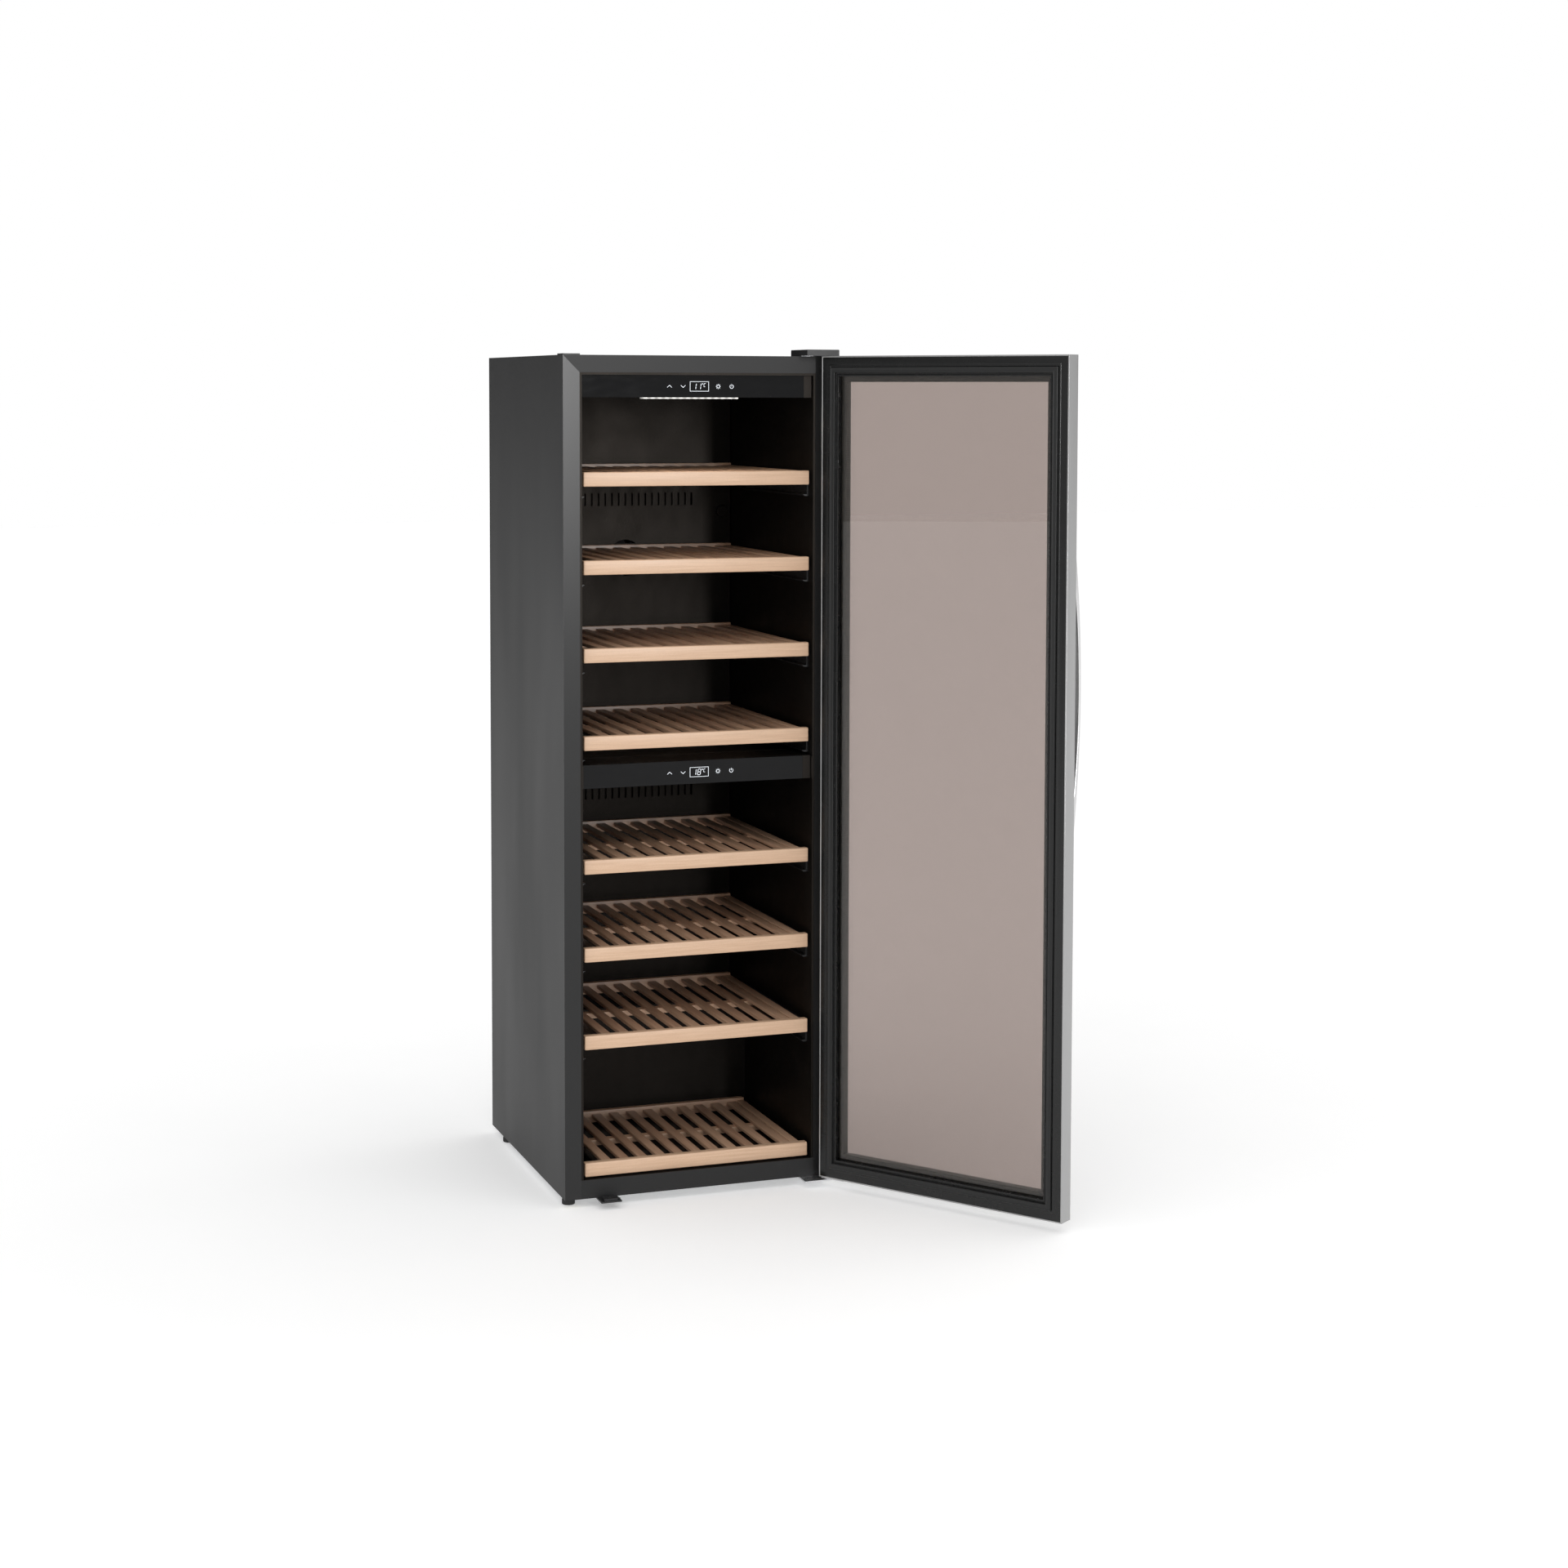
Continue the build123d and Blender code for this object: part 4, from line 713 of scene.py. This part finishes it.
def door_ring(profile):
    """A closed profile of (inset from the edge, depth) carried round the door, mitred at its corners."""
    inset, depth = np.array(profile, float).T / 1000
    right, upper = np.array([0, 1, 1, 0])[:, None], np.array([0, 0, 1, 1])[:, None]
    x = np.where(right, door_w - inset, inset)
    z = np.where(upper, door_high - inset, door_low + inset)
    grid = on_door(x, z, np.broadcast_to(depth, x.shape))
    run = np.cumsum([0, door_w, door_high - door_low, door_w, door_high - door_low])
    wrapped = np.vstack([profile, profile[:1]]) / 1000
    girth = np.concatenate([[0], np.cumsum(np.linalg.norm(np.diff(wrapped, axis=0), axis=1))])
    uv = np.stack(np.meshgrid(run, girth, indexing="ij"), -1)
    return skin(grid, True, True, False, uv)


def bowed(points, radius, steps=4):
    """Rounds each corner of a closed polygon by a curve between two points that far from it."""
    points = np.array(points, float)
    before, after = np.roll(points, 1, 0) - points, np.roll(points, -1, 0) - points
    reach_in, reach_out = [
        np.minimum(radius, 0.45 * np.linalg.norm(d, axis=1, keepdims=True)) * d
        / np.linalg.norm(d, axis=1, keepdims=True)
        for d in (before, after)
    ]
    t = np.linspace(0, 1, steps)[None, :, None]
    start, corner, stop = (points + reach_in)[:, None], points[:, None], (points + reach_out)[:, None]
    return ((1 - t) ** 2 * start + 2 * t * (1 - t) * corner + t**2 * stop).reshape(-1, 2)


steel = material("brushed_steel", (0.5, 0.5, 0.5), 0.3, 1.0, Anisotropic=0.4)
brushed = noise(steel, place_of(steel, "UV", (3.0, 1400.0, 1.0)), 1.0, 4.0, 0.6)
shade(steel, "Roughness", spread(steel, brushed, 0.27, 0.42))
shade(steel, "Base Color", blended(steel, brushed, (0.36, 0.36, 0.36), (0.46, 0.46, 0.46)))
relief(steel, brushed, 0.00003, 0.4)
frame_profile = [
    (rim_w * 1000, 0), (0, 0), (0, door_t * 1000), (face_w * 1000, door_t * 1000),
    (face_w * 1000, (door_t - face_t) * 1000), (rim_w * 1000, (door_t - face_t) * 1000),
]
piece(
    "door_frame_steel", [door_ring(bowed(frame_profile, 0.7))], steel, "door", "stainless_steel",
    "door_frame", crease=50,
)

# ---------------------------------------------------------------- inner frame
# One black moulding that clips inside the steel, with a raised bead outside the gasket's groove,
# a shallow groove inside it, and a step down to the glass.
frame_black = material("door_black_plastic", (0.005, 0.0052, 0.0052), 0.26, Specular_IOR_Level=0.42)
frame_cloud = noise(frame_black, place_of(frame_black), 40.0)
shade(frame_black, "Roughness", spread(frame_black, frame_cloud, 0.2, 0.3))
relief(frame_black, noise(frame_black, place_of(frame_black), 1300.0), 0.00004, 0.4)
inner_profile = [
    (3.2, 0), (18.4, 0), (19.2, -1), (22.8, -1), (23.6, 0), (27.6, 0), (27.6, 5.9), (32.4, 5.9), (32.4, 0),
    (37.0, 0), (37.6, 1.4), (39.0, 1.4), (39.6, 0), (43, 0), (43, 9.8), (3.2, 9.8),
]
piece(
    "door_inner_moulding", [door_ring(bowed(inner_profile, 0.5, 3))], frame_black, "door",
    "door_black_plastic", "door_inner_frame",
)

# ---------------------------------------------------------------- gasket
# Soft black vinyl: a barbed foot in the groove, a folded bellows, and a flat tube round a magnet
# that draws it against the cabinet's flange.
gasket_vinyl = material("gasket_vinyl", (0.010, 0.0105, 0.0105), 0.34, Specular_IOR_Level=0.4)
gasket_cloud = noise(gasket_vinyl, place_of(gasket_vinyl, "UV", (4.0, 300.0, 1.0)), 1.0)
shade(gasket_vinyl, "Roughness", spread(gasket_vinyl, gasket_cloud, 0.3, 0.46))
relief(gasket_vinyl, gasket_cloud, 0.00004, 0.4)
gasket_profile = [
    (24.6, -0.1), (24.2, -1.4), (26.0, -2.2), (24.2, -3.0), (24.2, -5.0), (25.0, -5.6), (26.6, -5.6),
    (27.2, -5.0), (32.8, -5.0), (33.4, -5.6), (35.0, -5.6), (35.8, -5.0), (35.8, -3.0), (34.0, -2.2),
    (35.8, -1.4), (35.4, -0.1), (32.2, -0.1), (32.2, 5.5), (27.8, 5.5), (27.8, -0.1),
]
piece(
    "door_gasket_vinyl", [door_ring(bowed(gasket_profile, 0.35, 3))], gasket_vinyl, "door", "gasket_rubber",
    "door_gasket",
)

# ---------------------------------------------------------------- glass
# Two sheets of float glass with a bronze tint, sealed round an aluminium spacer bar filled with
# drying beads, with a bead of sealant round it.
tinted_glass = material(
    "tinted_glass", (0.597, 0.541, 0.517), 0.0, Transmission_Weight=1.0, IOR=1.45, Coat_Weight=0.0,
)
glass_film = noise(tinted_glass, place_of(tinted_glass), 3.0)
shade(tinted_glass, "Base Color", blended(
    tinted_glass, glass_film, (0.595, 0.539, 0.515), (0.599, 0.543, 0.519),
))
dress(tinted_glass, "door_glass_panes")

spacer_metal = material("spacer_metal", (0.07, 0.075, 0.065), 0.45, 0.6)
beads = node(
    spacer_metal, "TexWave", {"Vector": place_of(spacer_metal, "UV"), "Scale": 60.0}, bands_direction="X",
)
shade(spacer_metal, "Base Color", blended(
    spacer_metal, beads.outputs["Fac"], (0.045, 0.05, 0.043), (0.10, 0.105, 0.09),
))
spacer_cloud = noise(spacer_metal, place_of(spacer_metal), 300.0)
shade(spacer_metal, "Roughness", spread(spacer_metal, spacer_cloud, 0.35, 0.6))
spacer_profile = [
    (43.2, 14.3), (45.6, 14.3), (46.0, 15.0), (46.8, 15.0), (47.2, 14.3), (50.6, 14.3), (51.0, 15.0),
    (51.8, 15.0), (52.2, 14.3), (55, 14.3), (55, 31.7), (43.2, 31.7),
]
piece(
    "door_spacer_bar", [door_ring(bowed(spacer_profile, 0.25, 3))], spacer_metal, "door", "spacer_metal",
    "door_glass_spacer",
)

# ---------------------------------------------------------------- handle
# A bowed bar of the same brushed steel, thick at both feet, screwed through the door's face from
# behind. Its colour is a brighter copy of the frame's steel: a painted highlight.
handle_low, handle_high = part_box("door_handle")
handle_mid, handle_half = (handle_low.z + handle_high.z) / 2, (handle_high.z - handle_low.z) / 2
grip_half, handle_rise, handle_thick = 0.245, 0.031, 0.007
handle_w, handle_in, handle_ease = 0.022, 0.003, 0.0022
handle_stations, least_outer, least_inner, inner_back = 129, 0.0003, 0.00005, 0.001


def bow(z, half, rise):
    """Height of a circular arc over its chord, for a chord of two halves and that rise."""
    r = (half**2 + rise**2) / (2 * rise)
    return rise - r + np.sqrt(np.maximum(r**2 - z**2, 0))


station = np.sin(np.linspace(-math.pi / 2, math.pi / 2, handle_stations)) * handle_half
outer = door_t + np.maximum(bow(station, handle_half, handle_rise), least_outer)
inner_rise = handle_rise - handle_thick + inner_back
inner = np.where(
    np.abs(station) < grip_half, door_t - inner_back + bow(station, grip_half, inner_rise), 0,
)
inner = np.maximum(inner, door_t + least_inner)
thick, centre = (outer - inner) / 2, (outer + inner) / 2
ease = np.minimum(handle_ease, thick * 0.8)[:, None]
quarter = np.linspace(0, math.pi / 2, 5)
turns = np.concatenate([quarter + k * math.pi / 2 for k in range(4)])
sign_x, sign_d = np.repeat([1, -1, -1, 1], 5), np.repeat([1, 1, -1, -1], 5)
x = handle_in + handle_w / 2 + sign_x * (handle_w / 2 - ease) + ease * np.cos(turns)
depth = centre[:, None] + sign_d * (thick[:, None] - ease) + ease * np.sin(turns)
grid = on_door(x, np.broadcast_to(handle_mid + station[:, None], x.shape), depth)
girth = np.linspace(0, 2 * (handle_w + handle_thick), 21)
uv = np.stack(np.meshgrid(np.append(station, station[-1]), girth, indexing="ij"), -1)
# A brighter copy of the frame's steel: the lighter base colour is a painted highlight.
handle_steel_lit = material("handle_steel_lit", (0.7, 0.7, 0.7), 0.26, 1.0, Anisotropic=0.4)
handle_brush = noise(handle_steel_lit, place_of(handle_steel_lit, "UV", (3.0, 1400.0, 1.0)), 1.0, 4.0, 0.6)
shade(handle_steel_lit, "Roughness", spread(handle_steel_lit, handle_brush, 0.22, 0.36))
shade(handle_steel_lit, "Base Color", blended(handle_steel_lit, handle_brush, (0.62, 0.62, 0.62), (0.74, 0.74, 0.74)))
relief(handle_steel_lit, handle_brush, 0.00003, 0.4)
piece(
    "door_handle_bar", [skin(grid, False, True, True, uv)], handle_steel_lit, "door", "stainless_steel",
    "door_handle", crease=50,
)
